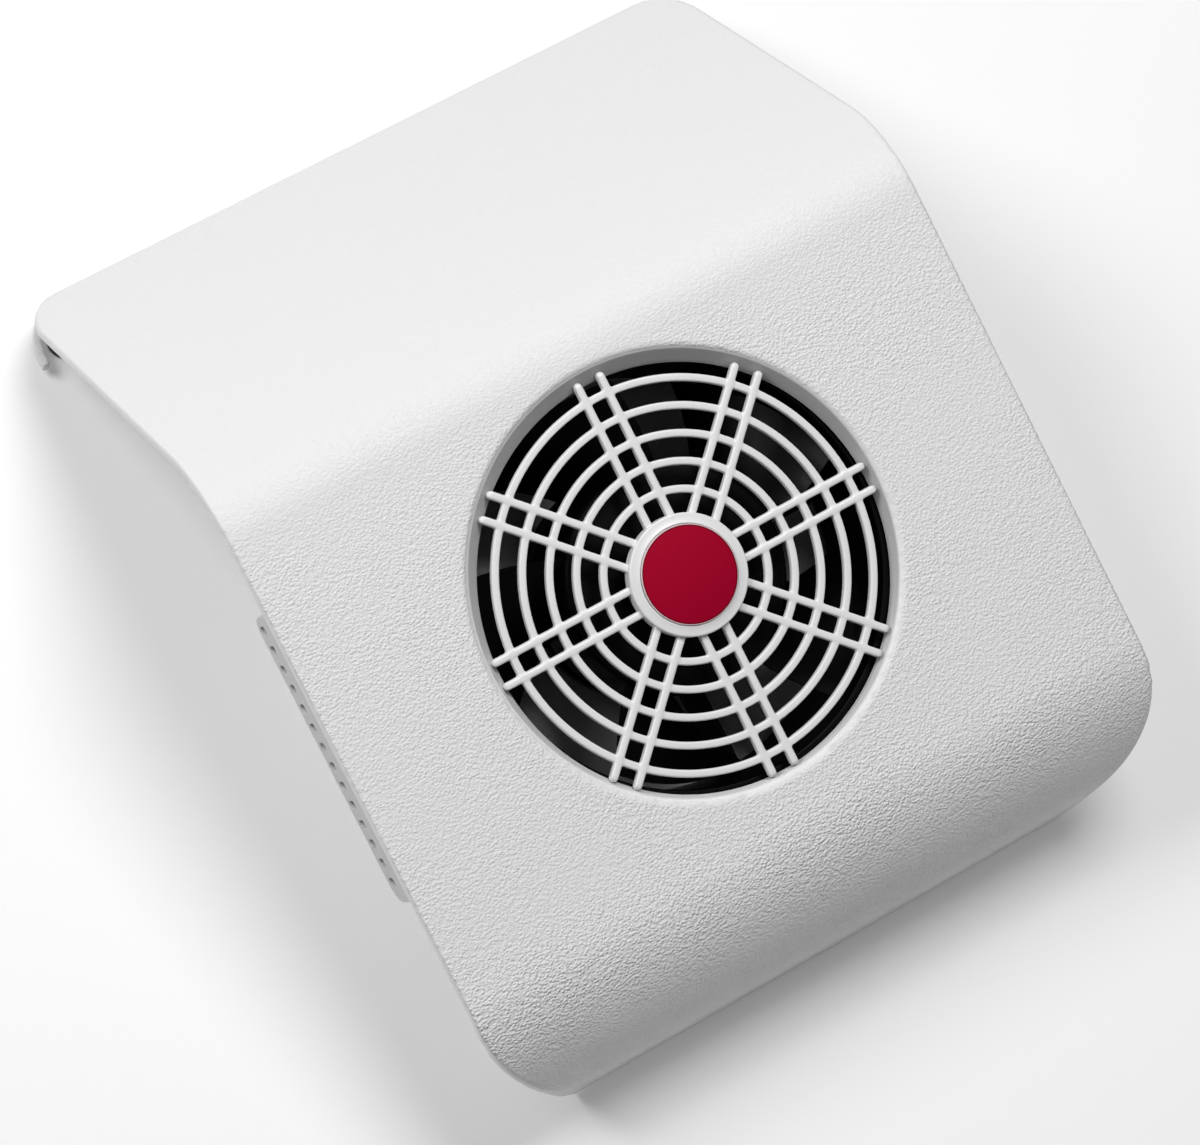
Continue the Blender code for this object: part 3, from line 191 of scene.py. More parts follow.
# White plastic with a leather-like grain. The mesh's own "grain" value says how deep it is at each place.
def grainedPlastic():
    look = coverGrain
    material, tree, shader = newMaterial("coverPlastic", look["colour"], look["roughness"])
    where = places(tree, look["pebbleStretch"])
    bend = addNode(tree, "ShaderNodeTexNoise", Scale=look["pebbleSize"] * 0.5, Detail=1.0)
    tree.links.new(where, bend.inputs["Vector"])
    shift = addNode(tree, "ShaderNodeVectorMath", operation="MULTIPLY_ADD")
    tree.links.new(bend.outputs["Color"], shift.inputs[0])
    shift.inputs[1].default_value = (look["wander"],) * 3
    tree.links.new(where, shift.inputs[2])
    pebbles = addNode(tree, "ShaderNodeTexVoronoi", Scale=look["pebbleSize"], feature="SMOOTH_F1",
                      Smoothness=0.35)
    tree.links.new(shift.outputs["Vector"], pebbles.inputs["Vector"])
    pebbleTops = remap(tree, pebbles.outputs["Distance"], 0.0, 0.75, 1.0, 0.0)
    wrinkles = noise(tree, where, look["wrinkleSize"], detail=2.0, rough=0.55, distortion=0.4)
    blend = mathNode(tree, "MULTIPLY_ADD", wrinkles, look["wrinkleShare"])
    tree.links.new(pebbleTops, blend.node.inputs[2])
    depth = addNode(tree, "ShaderNodeAttribute", attribute_name="grain")
    patches = noise(tree, places(tree), scale=30.0)
    soft = remap(tree, patches, 0.35, 0.65, 0.75, 1.1)
    height = mathNode(tree, "MULTIPLY", mathNode(tree, "MULTIPLY", blend, depth.outputs["Fac"]), soft)
    bump(tree, shader, height, look["strength"], look["height"])
    # Painted shade: the "wall" value blends the colour towards the darker wall colour on the recess wall
    wall = addNode(tree, "ShaderNodeAttribute", attribute_name="wall")
    colourAndPaintedShade = ramp(tree, wall.outputs["Fac"], ((0.0, look["colour"]), (1.0, look["wallPaintedShadeColour"])))
    rough, spread = look["roughness"], look["roughSpread"]
    gloss = remap(tree, wrinkles, 0.3, 0.7, rough + spread, rough - spread)
    paint(tree, shader, colourAndPaintedShade, gloss)
    return material


def metal(name, colour, roughness, scale=900.0):
    material, tree, shader = newMaterial(name, colour, roughness, 1.0)
    scratches = noise(tree, places(tree, (1, 1, 6)), scale, detail=3.0, rough=0.7)
    gloss = remap(tree, scratches, 0.3, 0.7, roughness - 0.08, roughness + 0.12)
    dark = [channel * 0.85 for channel in colour]
    paint(tree, shader, ramp(tree, scratches, ((0.35, dark), (0.65, colour))), gloss)
    bump(tree, shader, scratches, strength=0.08, distance=0.0001)
    return material


# Fine bands one above the other: stacked steel sheets, or enamelled wire in close turns
def banded(name, colour, roughness, metallic, scale, waver, strength, height, darkShare, edges):
    material, tree, shader = newMaterial(name, colour, roughness, metallic)
    bands = addNode(tree, "ShaderNodeTexWave", Scale=scale, Distortion=waver, bands_direction="Z")
    tree.links.new(places(tree), bands.inputs["Vector"])
    bump(tree, shader, bands.outputs["Fac"], strength, height)
    dark = [channel * darkShare for channel in colour]
    paint(tree, shader, ramp(tree, bands.outputs["Fac"], ((edges[0], dark), (edges[1], colour))))
    return material


def rubberFinish(name, colour):
    material, tree, shader = newMaterial(name, colour, 0.75)
    specks = noise(tree, places(tree), scale=1400.0)
    bump(tree, shader, specks, strength=0.15, distance=0.0001)
    paint(tree, shader, ramp(tree, specks, ((0.3, colour), (0.7, [channel * 1.8 for channel in colour]))))
    return material


# Soft non-woven cloth for the dust bag: matted fibres, fine pin dimples and a few lasting creases
def feltedCloth(name, colour):
    material, tree, shader = newMaterial(name, colour, 0.92)
    shader.inputs["Sheen Weight"].default_value = 0.25
    shader.inputs["Sheen Roughness"].default_value = 0.5
    fibres = noise(tree, places(tree, (1.0, 0.35, 1.0)), scale=2400.0, detail=4.0, rough=0.7, distortion=1.2)
    dimples = addNode(tree, "ShaderNodeTexVoronoi", Scale=700.0)
    tree.links.new(places(tree), dimples.inputs["Vector"])
    creases = noise(tree, places(tree, (1.0, 0.5, 1.0)), scale=95.0, detail=3.0, rough=0.55, distortion=0.8)
    dust = noise(tree, places(tree), scale=45.0, detail=4.0)
    low = [channel * 0.88 for channel in colour]
    shade = ramp(tree, fibres, ((0.3, low), (0.6, colour)))
    fine = mathNode(tree, "MULTIPLY_ADD", dimples.outputs["Distance"], 0.6)
    tree.links.new(fibres, fine.node.inputs[2])
    first = bump(tree, shader, creases, strength=0.45, distance=0.0022)
    bump(tree, shader, fine, strength=0.4, distance=0.00025, before=first)
    paint(tree, shader, shade, remap(tree, dust, 0.3, 0.7, 0.86, 0.97))
    return material


coverPlastic = grainedPlastic()
whitePlastic = mouldedPlastic("whitePlastic", (0.80, 0.80, 0.81), 0.42)
grillePlastic = mouldedPlastic("grillePlastic", (0.86, 0.86, 0.86), 0.3, 0.04, 300.0, 0.03)
# The vent plates' darker grey is painted shade, for the shade under the cover's rim
ventPaintedShadePlastic = mouldedPlastic("ventPaintedShadePlastic", (0.64, 0.64, 0.645), 0.5)
blackPlastic = mouldedPlastic("blackPlastic", (0.004, 0.004, 0.0045), 0.34, 0.06, 120.0, 0.04)
fanBlack = mouldedPlastic("fanBlack", (0.0018, 0.0018, 0.002), 0.4, 0.05, 160.0, 0.03)
fanBlack.node_tree.nodes["Principled BSDF"].inputs["Specular IOR Level"].default_value = 0.1
steelFinish = metal("steelFinish", (0.56, 0.57, 0.58), 0.32)
brassFinish = metal("brassFinish", (0.78, 0.58, 0.28), 0.28)
coreSteel = banded("coreSteel", (0.3, 0.3, 0.31), 0.5, 1.0, scale=320.0, waver=0.4, strength=0.3,
                   height=0.0002, darkShare=0.6, edges=(0.1, 0.6))
copperWire = banded("copperWire", (0.55, 0.2, 0.07), 0.32, 0.7, scale=420.0, waver=0.8, strength=0.6,
                    height=0.0003, darkShare=0.45, edges=(0.15, 0.7))
rubberBlack = rubberFinish("rubberBlack", (0.022, 0.022, 0.023))
leadPlastic = mouldedPlastic("leadPlastic", (0.35, 0.02, 0.02), 0.4)
bagCloth = feltedCloth("bagCloth", (0.78, 0.78, 0.76))
print("materials made")


# Small helpers for shapes, with the number of steps that each kind of round form gets
roundSteps = {"hole": 24, "ear": 32, "foot": 56, "tube": 64, "hub": 96, "grilleHub": 128, "ring": 160}


def addPiece(name, mesh):
    piece = bpy.data.objects.new(name, mesh)
    scene.collection.objects.link(piece)
    return piece


def roundCorners(corners, radii, steps):
    points = []
    count = len(corners)
    for index, corner in enumerate(corners):
        here = Vector(corner)
        radius = radii[index]
        if radius <= 0:
            points.append(here)
            continue
        before = (Vector(corners[index - 1]) - here).normalized()
        after = (Vector(corners[(index + 1) % count]) - here).normalized()
        halfAngle = before.angle(after) / 2
        middle = here + (before + after).normalized() * radius / math.sin(halfAngle)
        start = here + before * radius / math.tan(halfAngle) - middle
        finish = here + after * radius / math.tan(halfAngle) - middle
        turn = math.pi - 2 * halfAngle
        if start.cross(finish) < 0:
            turn = -turn
        for step in range(steps + 1):
            points.append(middle + Matrix.Rotation(turn * step / steps, 2) @ start)
    return points


# A piece with its faces turned outward
def solid(name, verts, faces, weld=None):
    mesh = bpy.data.meshes.new(name)
    mesh.from_pydata(verts, [], faces)
    shape = bmesh.new()
    shape.from_mesh(mesh)
    if weld is not None:
        bmesh.ops.remove_doubles(shape, verts=shape.verts, dist=weld)
    bmesh.ops.recalc_face_normals(shape, faces=shape.faces)
    shape.to_mesh(mesh)
    shape.free()
    return addPiece(name, mesh)


# Faces between rows of points, each row closed on itself
def rowFaces(rows, count, closed=False):
    faces = []
    for row in range(rows if closed else rows - 1):
        first, second = row * count, (row + 1) % rows * count
        for index in range(count):
            after = (index + 1) % count
            faces.append((first + index, first + after, second + after, second + index))
    return faces


def endFaces(rows, count):
    return [tuple(range(count))[::-1], tuple(range((rows - 1) * count, rows * count))]


# A block of a flat outline, from low to high on its own Z, then moved to its place
def prism(name, outline, low, high, place=Matrix()):
    count = len(outline)
    verts = [place @ Vector((p[0], p[1], z)) for z in (low, high) for p in outline]
    return solid(name, verts, endFaces(2, count) + rowFaces(2, count))


def rectangle(left, low, right, high):
    return [(left, low), (right, low), (right, high), (left, high)]


# A quarter turn as pairs that go from (0, 1) to (1, 0)
def quarterArc(steps):
    return [(math.sin(a), math.cos(a)) for a in (k / steps * math.pi / 2 for k in range(steps + 1))]


def circle(radius, steps, x=0.0, y=0.0):
    turns = [2 * math.pi * step / steps for step in range(steps)]
    return [(x + radius * math.cos(a), y + radius * math.sin(a)) for a in turns]


# Round sections one above the other: (radius, height, shift along Y)
def stack(name, levels, steps, place=Matrix()):
    verts = []
    for radius, height, shift in levels:
        verts += [place @ Vector((x, y + shift, height)) for x, y in circle(radius, steps)]
    bottom, top = endFaces(len(levels), steps)
    return solid(name, verts, [bottom, *rowFaces(len(levels), steps), top])


# A closed profile of (radius, height) points turned about Z
def turned(name, profile, steps, place=Matrix()):
    verts = []
    for step in range(steps):
        angle = 2 * math.pi * step / steps
        for radius, height in profile:
            verts.append(place @ Vector((radius * math.cos(angle), radius * math.sin(angle), height)))
    return solid(name, verts, rowFaces(steps, len(profile), True), 1e-6)


def settle(piece):
    graph = bpy.context.evaluated_depsgraph_get()
    mesh = bpy.data.meshes.new_from_object(piece.evaluated_get(graph))
    old = piece.data
    piece.modifiers.clear()
    piece.data = mesh
    bpy.data.meshes.remove(old)


def modify(piece, kind, **values):
    step = piece.modifiers.new(kind, kind)
    for key, value in values.items():
        setattr(step, key, value)


def combine(target, others, how):
    for other in others:
        modify(target, "BOOLEAN", operation=how, solver="EXACT", object=other)
        settle(target)
        bpy.data.objects.remove(other, do_unlink=True)


# Turns a block of cut shapes into one even skin with softly rounded edges
def moulded(piece, skin, rounds):
    modify(piece, "REMESH", mode="VOXEL", voxel_size=skin)
    modify(piece, "SMOOTH", factor=0.5, iterations=rounds)
    settle(piece)
    piece.data.shade_smooth()


def joined(name, pieces):
    mesh = bpy.data.meshes.new(name)
    shape = bmesh.new()
    for piece in pieces:
        shape.from_mesh(piece.data)
        bpy.data.objects.remove(piece, do_unlink=True)
    shape.to_mesh(mesh)
    shape.free()
    return addPiece(name, mesh)


def softShade(piece, sharpAngle):
    piece.data.shade_smooth()
    piece.data.set_sharp_from_angle(angle=math.radians(sharpAngle))


def turnAbout(number, count, offset=0.0):
    return Matrix.Rotation(offset + number * 2 * math.pi / count, 4, "Z")


def nodeMiddle(name):
    return sum(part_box(name), Vector()) / 2


# Gives a piece its material, attaches it to the body it rides on and hides the node that it stands in for
def finishPiece(piece, material, body, node, sharpAngle=None):
    if sharpAngle is not None:
        softShade(piece, sharpAngle)
    finishIn(material, piece)
    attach(piece, body)
    if node is not None:
        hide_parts(node)


footNames = [f"foot_{end}_{side}" for side in ("left", "right") for end in ("front", "rear")]


# Top cover: a moulded arch with a recessed fan opening and side windows
cover = {
    "halfWidth": 0.105,
    "rearY": 0.130, "rearZ": 0.014, "rearBend": 0.008,
    "ridgeY": 0.0445, "ridgeZ": 0.099, "ridgeBend": 0.032,
    "frontY": -0.130, "frontZ": 0.054, "frontRoll": 0.038,
    "bottomZ": 0.002,
    "wall": 0.0025,
    "frontCorner": 0.022, "rearCorner": 0.013,
    "sideRim": 0.0038, "windowDepth": 0.0055, "windowFrontY": -0.120, "windowRearY": 0.114,
    "notchDepth": 0.0075, "notchRearY": 0.1258, "notchBottomZ": 0.0065,
    "apronFoot": 0.079, "apronShoulder": 0.092, "apronShoulderZ": 0.031, "apronTopZ": 0.052,
    "apronReach": 0.012,
    "recessTop": 0.0593, "recessFloor": 0.0567, "recessDepth": 0.0046, "recessLean": 0.0009,
    "recessSpare": 0.00025, "floorShift": 0.0006, "boreDepth": 0.018,
    "lipThickness": 0.0006, "lipUndercut": 0.0585, "lipBehind": 0.0622,
    "lipStart": 0.0005, "lipBend": 0.0003, "lipSteps": 200,
    "lipBackTop": 0.0016, "lipShoulder": (0.0008, 0.0012),
    "footPost": 0.0045, "postBottom": 0.0029, "screwBoss": 0.0045, "screwBossLength": 0.012,
    "earBoss": 0.004, "earReach": 0.0665, "ears": 4,
    "collarWall": 0.0025, "collarDepth": 0.0055,
    "fanFromRidge": 0.0797, "overrun": 0.012,
    "planSpare": 0.00002, "notchOverlap": 0.002, "arcSteps": 20, "skin": 0.0008,
}
slopeFront = math.atan((cover["ridgeZ"] - cover["frontZ"]) / (cover["ridgeY"] - cover["frontY"]))
slopeRear = math.atan((cover["ridgeZ"] - cover["rearZ"]) / (cover["rearY"] - cover["ridgeY"]))
fanCentre = Vector((0, cover["ridgeY"] - cover["fanFromRidge"] * math.cos(slopeFront),
                    cover["ridgeZ"] - cover["fanFromRidge"] * math.sin(slopeFront)))
onSlope = Matrix.Translation(fanCentre) @ Matrix.Rotation(slopeFront, 4, "X")
sideView = Matrix(((0, 0, 1, 0), (1, 0, 0, 0), (0, 1, 0, 0), (0, 0, 0, 1)))
frontView = Matrix(((1, 0, 0, 0), (0, 0, 1, 0), (0, 1, 0, 0), (0, 0, 0, 1)))


def archOutline(inset, bottom):
    overFront = inset / math.cos(slopeFront)
    overRear = inset / math.cos(slopeRear)
    shift = (overFront - overRear) / (math.tan(slopeFront) + math.tan(slopeRear))
    ridgeY, ridgeZ = cover["ridgeY"], cover["ridgeZ"]
    rearY, frontY = cover["rearY"] - inset, cover["frontY"] + inset
    corners = [
        (rearY, bottom),
        (rearY, ridgeZ - overRear - math.tan(slopeRear) * (rearY - ridgeY)),
        (ridgeY + shift, ridgeZ - overFront + math.tan(slopeFront) * shift),
        (frontY, ridgeZ - overFront - math.tan(slopeFront) * (ridgeY - frontY)),
        (frontY, bottom),
    ]
    radii = [0] + [max(cover[key] - inset, cover[key] * 0.1)
                   for key in ("rearBend", "ridgeBend", "frontRoll")] + [0]
    return roundCorners(corners, radii, cover["arcSteps"])


def planOutline(inset):
    x = cover["halfWidth"] - inset
    low = cover["frontY"] + inset - cover["planSpare"]
    high = cover["rearY"] - inset + cover["planSpare"]
    front, rear = cover["frontCorner"] - inset, cover["rearCorner"] - inset
    return roundCorners(rectangle(-x, low, x, high), [front, front, rear, rear], cover["arcSteps"])


def archBlock(name, inset, bottom, left, right):
    return prism(name, archOutline(inset, bottom), left, right, sideView)


def undersideZ(y):
    drop = cover["wall"] / math.cos(slopeFront)
    return cover["ridgeZ"] - drop - math.tan(slopeFront) * (cover["ridgeY"] - y)


# Posts for the feet, bosses for the screws and a collar round the opening, all under the skin
def makeBosses(tall):
    posts = []
    for name in footNames:
        middle = nodeMiddle(name)
        outline = circle(cover["footPost"], roundSteps["hole"], middle.x, middle.y)
        posts.append(prism("post", outline, cover["postBottom"], tall))
    for number in range(1, 5):
        middle = nodeMiddle(f"case_screw_{number}")
        outline = circle(cover["screwBoss"], roundSteps["hole"], middle.x, middle.y)
        posts.append(prism("boss", outline, undersideZ(middle.y) - cover["screwBossLength"], tall))
    wall, low, reach = cover["wall"], -cover["collarDepth"], cover["earReach"]
    for number in range(cover["ears"]):
        angle = math.pi / 4 + number * 2 * math.pi / cover["ears"]
        outline = circle(cover["earBoss"], roundSteps["hole"], reach * math.cos(angle),
                         reach * math.sin(angle))
        posts.append(prism("ear", outline, low, wall, onSlope))
    outside = circle(cover["recessTop"] + cover["collarWall"], roundSteps["hub"])
    collar = prism("collar", outside, low, wall, onSlope)
    skin = archBlock("skinLimit", wall / 2, -cover["overrun"], -cover["halfWidth"], cover["halfWidth"])
    bosses = joined("bosses", posts)
    combine(bosses, [collar], "UNION")
    combine(bosses, [skin], "INTERSECT")
    return bosses


# The bore for the recess, a little wider than the smooth wall that lines it
def makeRecessBore():
    top, floor = cover["recessTop"], cover["recessFloor"] + cover["floorShift"]
    depth, lean, spare = cover["recessDepth"], cover["recessLean"], cover["recessSpare"]
    undercut = cover["lipUndercut"] + spare
    over = cover["overrun"] / depth
    return stack("recess", [
        (top + (top - floor) * over + spare, cover["overrun"], lean + 2 * lean * over),
        (floor + spare, -depth, -lean),
        (undercut, -depth - cover["lipThickness"], -lean / 2),
        (undercut, -cover["boreDepth"], 0),
    ], roundSteps["ring"], onSlope)


# The sides are open under the rim, with a low lip left at each rear corner
def makeSideOpenings(tall):
    over, rearY = cover["overrun"], cover["windowRearY"]
    openings = ((cover["windowDepth"], -over, cover["windowFrontY"], rearY),
                (cover["notchDepth"], cover["notchBottomZ"], rearY - cover["notchOverlap"],
                 cover["notchRearY"]))
    windows = []
    for sign in (-1, 1):
        for reach, bottom, low, high in openings:
            ends = sorted((sign * (cover["halfWidth"] - reach), sign * (cover["halfWidth"] + over)))
            window = archBlock("window", cover["sideRim"], bottom, *ends)
            limit = prism("limit", rectangle(low, -over, high, tall), ends[0] - over, ends[1] + over,
                          sideView)
            combine(window, [limit], "INTERSECT")
            windows.append(window)
    return windows


# The front apron is cut back at both corners
def makeApronCuts(wide):
    cuts = []
    for sign in (-1, 1):
        corner = [(sign * x, z) for x, z in (
            (cover["apronFoot"], -cover["overrun"]), (cover["apronFoot"], cover["bottomZ"]),
            (cover["apronShoulder"], cover["apronShoulderZ"]), (cover["halfWidth"], cover["apronTopZ"]),
            (wide, cover["apronTopZ"]), (wide, -cover["overrun"]))]
        cuts.append(prism("apron", corner, cover["frontY"] - cover["overrun"],
                          cover["frontY"] + cover["apronReach"], frontView))
    return cuts


def makeCover():
    over = cover["overrun"]
    wide, tall = cover["halfWidth"] + over, cover["ridgeZ"] + over
    shell = archBlock("coverShell", 0, cover["bottomZ"], -wide, wide)
    combine(shell, [prism("plan", planOutline(0), -over, tall)], "INTERSECT")
    hollow = archBlock("hollow", cover["wall"], cover["bottomZ"] - over, -wide, wide)
    combine(hollow, [prism("hollowPlan", planOutline(cover["wall"]), -2 * over, tall)], "INTERSECT")
    combine(shell, [hollow], "DIFFERENCE")
    combine(shell, [makeBosses(tall)], "UNION")
    combine(shell, [makeRecessBore()], "DIFFERENCE")
    combine(shell, makeSideOpenings(tall), "DIFFERENCE")
    combine(shell, makeApronCuts(wide), "DIFFERENCE")
    moulded(shell, cover["skin"], 3)
    lip = makeInletLip()
    # Painted shade: none on the shell, darker towards the uphill side of the recess wall
    mark(shell, "wall", [0.0] * len(shell.data.vertices))
    mark(lip, "wall", lipPaintedShade(lip))
    shell = joined("coverShell", [shell, lip])
    mark(shell, "grain", grainDepth(shell.data))
    finishPiece(shell, coverPlastic, "housing", "top_cover")
    print("cover made:", len(shell.data.polygons), "faces")


# Values that the cover's material reads: "wall" paints shade on the recess wall, "grain" says how deep the
# grain is
def mark(piece, name, values):
    layer = piece.data.attributes.new(name, "FLOAT", "POINT")
    layer.data.foreach_set("value", values)


# The recess wall is painted a little darker on its uphill right side: painted shade, where the wall faces
# away from the light
def lipPaintedShade(lip):
    back = onSlope.inverted()
    darkest = math.radians(coverGrain["paintedShadeAt"])
    local = [back @ vertex.co for vertex in lip.data.vertices]
    return [0.5 + 0.5 * math.cos(math.atan2(place.y, place.x) - darkest) for place in local]


# The smooth wall of the recess, down to the thin lip round the inlet
def makeInletLip():
    top, floor, depth = cover["recessTop"], cover["recessFloor"], cover["recessDepth"]
    lean, thin, bend = cover["recessLean"], cover["lipThickness"], cover["lipBend"]
    behind, undercut, bottom = cover["lipBehind"], cover["lipUndercut"], -cover["collarDepth"]
    share = cover["lipStart"] / depth

    def onWall(along):
        return top - (top - floor) * along, -depth * along, lean - 2 * lean * along

    wider, lower = cover["lipShoulder"]
    edge, height, shift = onWall(share)
    levels = [(behind, bottom, 0), (behind, -cover["lipBackTop"], 0), (edge + wider, -lower, shift),
              (edge, height, shift)]
    levels += [onWall(share + (1 - share - bend / depth) * step / 8) for step in range(1, 9)]
    for step in range(1, 7):
        angle = step / 6 * math.pi
        levels.append((floor + bend * (1 - math.sin(angle)) * 0.6,
                       -depth - thin * 0.25 * (1 - math.cos(angle)), -lean))
    levels += [(undercut, -depth - thin, -lean / 2), (undercut, bottom, 0)]
    verts = []
    for radius, height, shift in levels:
        aside = cover["floorShift"] * min(-height / depth, 1)
        verts += [onSlope @ Vector((x + aside, y + shift, height))
                  for x, y in circle(radius, cover["lipSteps"])]
    lip = solid("inletLip", verts, rowFaces(len(levels), cover["lipSteps"], True))
    lip.data.shade_smooth()
    return lip


def ease(value, low, high):
    share = np.clip((value - low) / (high - low), 0, 1)
    return share * share * (3 - 2 * share)


def vectors(items, key):
    values = np.empty(len(items) * 3, np.float32)
    items.foreach_get(key, values)
    return values.reshape(-1, 3)


# Grain: deep on the front slope, deepest on the front roll, finer from the ridge to the rear edge,
# none on the rims or in the recess
def grainDepth(mesh):
    look = coverGrain
    place, facing = vectors(mesh.vertices, "co"), vectors(mesh.vertex_normals, "vector")
    back = np.array(onSlope.inverted())
    local = place @ back[:3, :3].T + back[:3, 3]
    grain = 1.0 + (look["rearShare"] - 1.0) * ease(place[:, 1], *look["rearFade"])
    grain *= 1.0 + (look["frontShare"] - 1.0) * ease(-place[:, 1], *look["frontRise"])
    grain *= ease(facing[:, 2] - np.minimum(facing[:, 1], 0), *look["rimSlope"])
    grain *= 1.0 - ease(np.abs(facing[:, 0]), *look["sideSlope"])
    beyond = np.hypot(local[:, 0], local[:, 1]) - cover["recessTop"]
    near = (np.abs(local[:, 2]) < look["recessReach"]) & (place[:, 1] < look["recessRearY"])
    grain *= np.where(near, ease(beyond, *look["recessEdge"]), 1.0)
    return grain.astype(np.float32)


makeCover()


# Grille: five rings and eight twin bars, all with rounded tops, round a raised hub
grille = {
    "firstRing": 0.0226, "ringStep": 0.0073, "rings": 5,
    "barWidth": 0.0021, "barDepth": 0.0024, "squareness": 0.3, "topDrop": 0.0006,
    "pairs": 8, "pairSpacing": 0.0068, "proud": 0.0002, "reach": 0.0577, "barRoot": 0.003,
    "hubRadius": 0.0163, "hubRise": 0.0018, "hubThickness": 0.0042, "hubEdge": 0.0005,
    "seatRadius": 0.0134, "seatDepth": 0.0003,
    "bead": ((0.0001, 0.00012), (0.0003, 0.00018), (0.0005, 0.0001), (0.0007, 0)),
    "skin": 0.00034,
}


def barSection(width, depth, top, steps=16):
    points = []
    for step in range(steps):
        angle = 2 * math.pi * step / steps
        x, z = math.cos(angle), math.sin(angle)
        x = math.copysign(abs(x) ** grille["squareness"], x)
        z = math.copysign(abs(z) ** grille["squareness"], z)
        points.append((x * width / 2, top - depth / 2 + z * depth / 2))
    return points


# A bar along X with a rounded section and a round end
def makeBar(start, end, side, width, depth, top):
    section = barSection(width, depth, top)
    middle = top - depth / 2
    stations = [(start, 1.0)] + [(end - width / 2 + width / 2 * x, max(z, 0.05)) for x, z in quarterArc(4)]
    verts = []
    for along, share in stations:
        verts += [(along, side + y * share, middle + (z - middle) * share) for y, z in section]
    first, last = endFaces(len(stations), len(section))
    return solid("bar", verts, [first, *rowFaces(len(stations), len(section)), last])


def makeGrille():
    look = grille
    top = -look["topDrop"]
    pieces = []
    for ring in range(look["rings"]):
        radius = look["firstRing"] + ring * look["ringStep"]
        section = [(radius + x, z) for x, z in barSection(look["barWidth"], look["barDepth"], top)]
        pieces.append(turned("ring", section, roundSteps["ring"]))
    for pair in range(look["pairs"]):
        turn = turnAbout(pair, look["pairs"])
        for sign in (-1, 1):
            side = sign * look["pairSpacing"] / 2
            end = math.sqrt(look["reach"] ** 2 - side ** 2)
            bar = makeBar(look["hubRadius"] - look["barRoot"], end, side, look["barWidth"],
                          look["barDepth"] + look["proud"] * 2, top + look["proud"])
            bar.data.transform(turn)
            pieces.append(bar)
    hubTop = top + look["hubRise"]
    edge = look["hubEdge"]
    rim = [(look["hubRadius"] - edge + edge * x, hubTop - edge + edge * z) for x, z in quarterArc(6)]
    seat, floor = look["seatRadius"], hubTop - look["seatDepth"]
    bead = [(seat + out, hubTop + up) for out, up in look["bead"]]
    hubLow = hubTop - look["hubThickness"]
    profile = [(0, floor), (seat, floor), *bead, *rim, (look["hubRadius"], hubLow), (0, hubLow)]
    bars = joined("bars", pieces)
    moulded(bars, look["skin"], 1)
    hub = turned("hub", profile, roundSteps["grilleHub"])
    softShade(hub, 40)
    guard = joined("grilleGuard", [bars, hub])
    guard.data.transform(onSlope)
    finishPiece(guard, grillePlastic, "grille_body", "fan_grille")
    print("grille made:", len(guard.data.polygons), "faces")


makeGrille()


# Hub label: a plain round sticker with a thin darker border
label = {
    "radius": 0.0133, "thickness": 0.0004, "edge": 0.00015, "lift": 0.0002,
    "colour": (0.36, 0.0012, 0.0225), "borderColour": (0.14, 0.001, 0.008),
    "outlineColour": (0.78, 0.62, 0.64), "borderAt": 0.01276, "outlineAt": 0.01308, "inkHeight": 0.001,
}


def labelFinish():
    material, tree, shader = newMaterial("labelRed", label["colour"], 0.6)
    shader.inputs["Specular IOR Level"].default_value = 0.04
    away = addNode(tree, "ShaderNodeVectorMath", operation="DISTANCE")
    tree.links.new(places(tree), away.inputs[0])
    away.inputs[1].default_value = onSlope @ Vector((0, 0, label["inkHeight"]))
    share = mathNode(tree, "DIVIDE", away.outputs["Value"], label["radius"])
    border, outline = label["borderAt"] / label["radius"], label["outlineAt"] / label["radius"]
    ink = ramp(tree, share, ((0.0, label["colour"]), (border - 0.012, label["colour"]),
                             (border + 0.006, label["borderColour"]),
                             (outline - 0.004, label["borderColour"]),
                             (outline + 0.002, label["outlineColour"])))
    paper = noise(tree, places(tree), scale=1500.0)
    bump(tree, shader, paper, strength=0.08, distance=0.0001)
    paint(tree, shader, ink, remap(tree, paper, 0.3, 0.7, 0.55, 0.65))
    return material


def makeLabel():
    low = -grille["topDrop"] + grille["hubRise"] + label["lift"]
    high = low + label["thickness"]
    radius, edge = label["radius"], label["edge"]
    profile = [(0, high), (radius - edge, high), (radius - edge * 0.3, high - edge * 0.3),
               (radius, high - edge), (radius, low), (0, low)]
    sticker = turned("hubSticker", profile, roundSteps["hub"], onSlope)
    finishPiece(sticker, labelFinish(), "grille_body", "hub_label", 50)
    print("label made")


makeLabel()


# Fan: a round frame with four ears, its base on four struts and a hub with five swept blades
fan = {
    "bore": 0.056, "wall": 0.0035, "top": -0.0058, "depth": 0.0425, "rounding": 0.0005,
    "baseThickness": 0.004, "baseRadius": 0.031, "strutWidth": 0.006, "struts": 4,
    "seatRadius": 0.0055, "stop": 0.0008, "stopHeight": 0.0012, "tubeWall": 0.002, "tubeRise": 0.0255,
    "earRadius": 0.0045, "earThickness": 0.003, "earHole": 0.0016, "holeReach": 0.02, "webShare": 0.7,
    "step": 0.00015,
    "hubTop": -0.0095, "hubRadius": 0.031, "hubSkin": 0.0022, "hubLength": 0.030, "hubRounding": 0.0022,
    "rotorRadius": 0.0278, "bossRadius": 0.0058, "bossLength": 0.005, "shaftRadius": 0.00255,
    "blades": 5, "tipGap": 0.0017, "bladeThickness": 0.0016, "bladeLead": 0.002, "bladeHeight": 0.025,
    "rootSweep": 38, "tipSweep": 46, "bladeLean": 9, "camber": 0.0025, "edgeThinning": (0.75, 8),
    "bladeStepsAcross": 12, "bladeStepsAlong": 18,
}


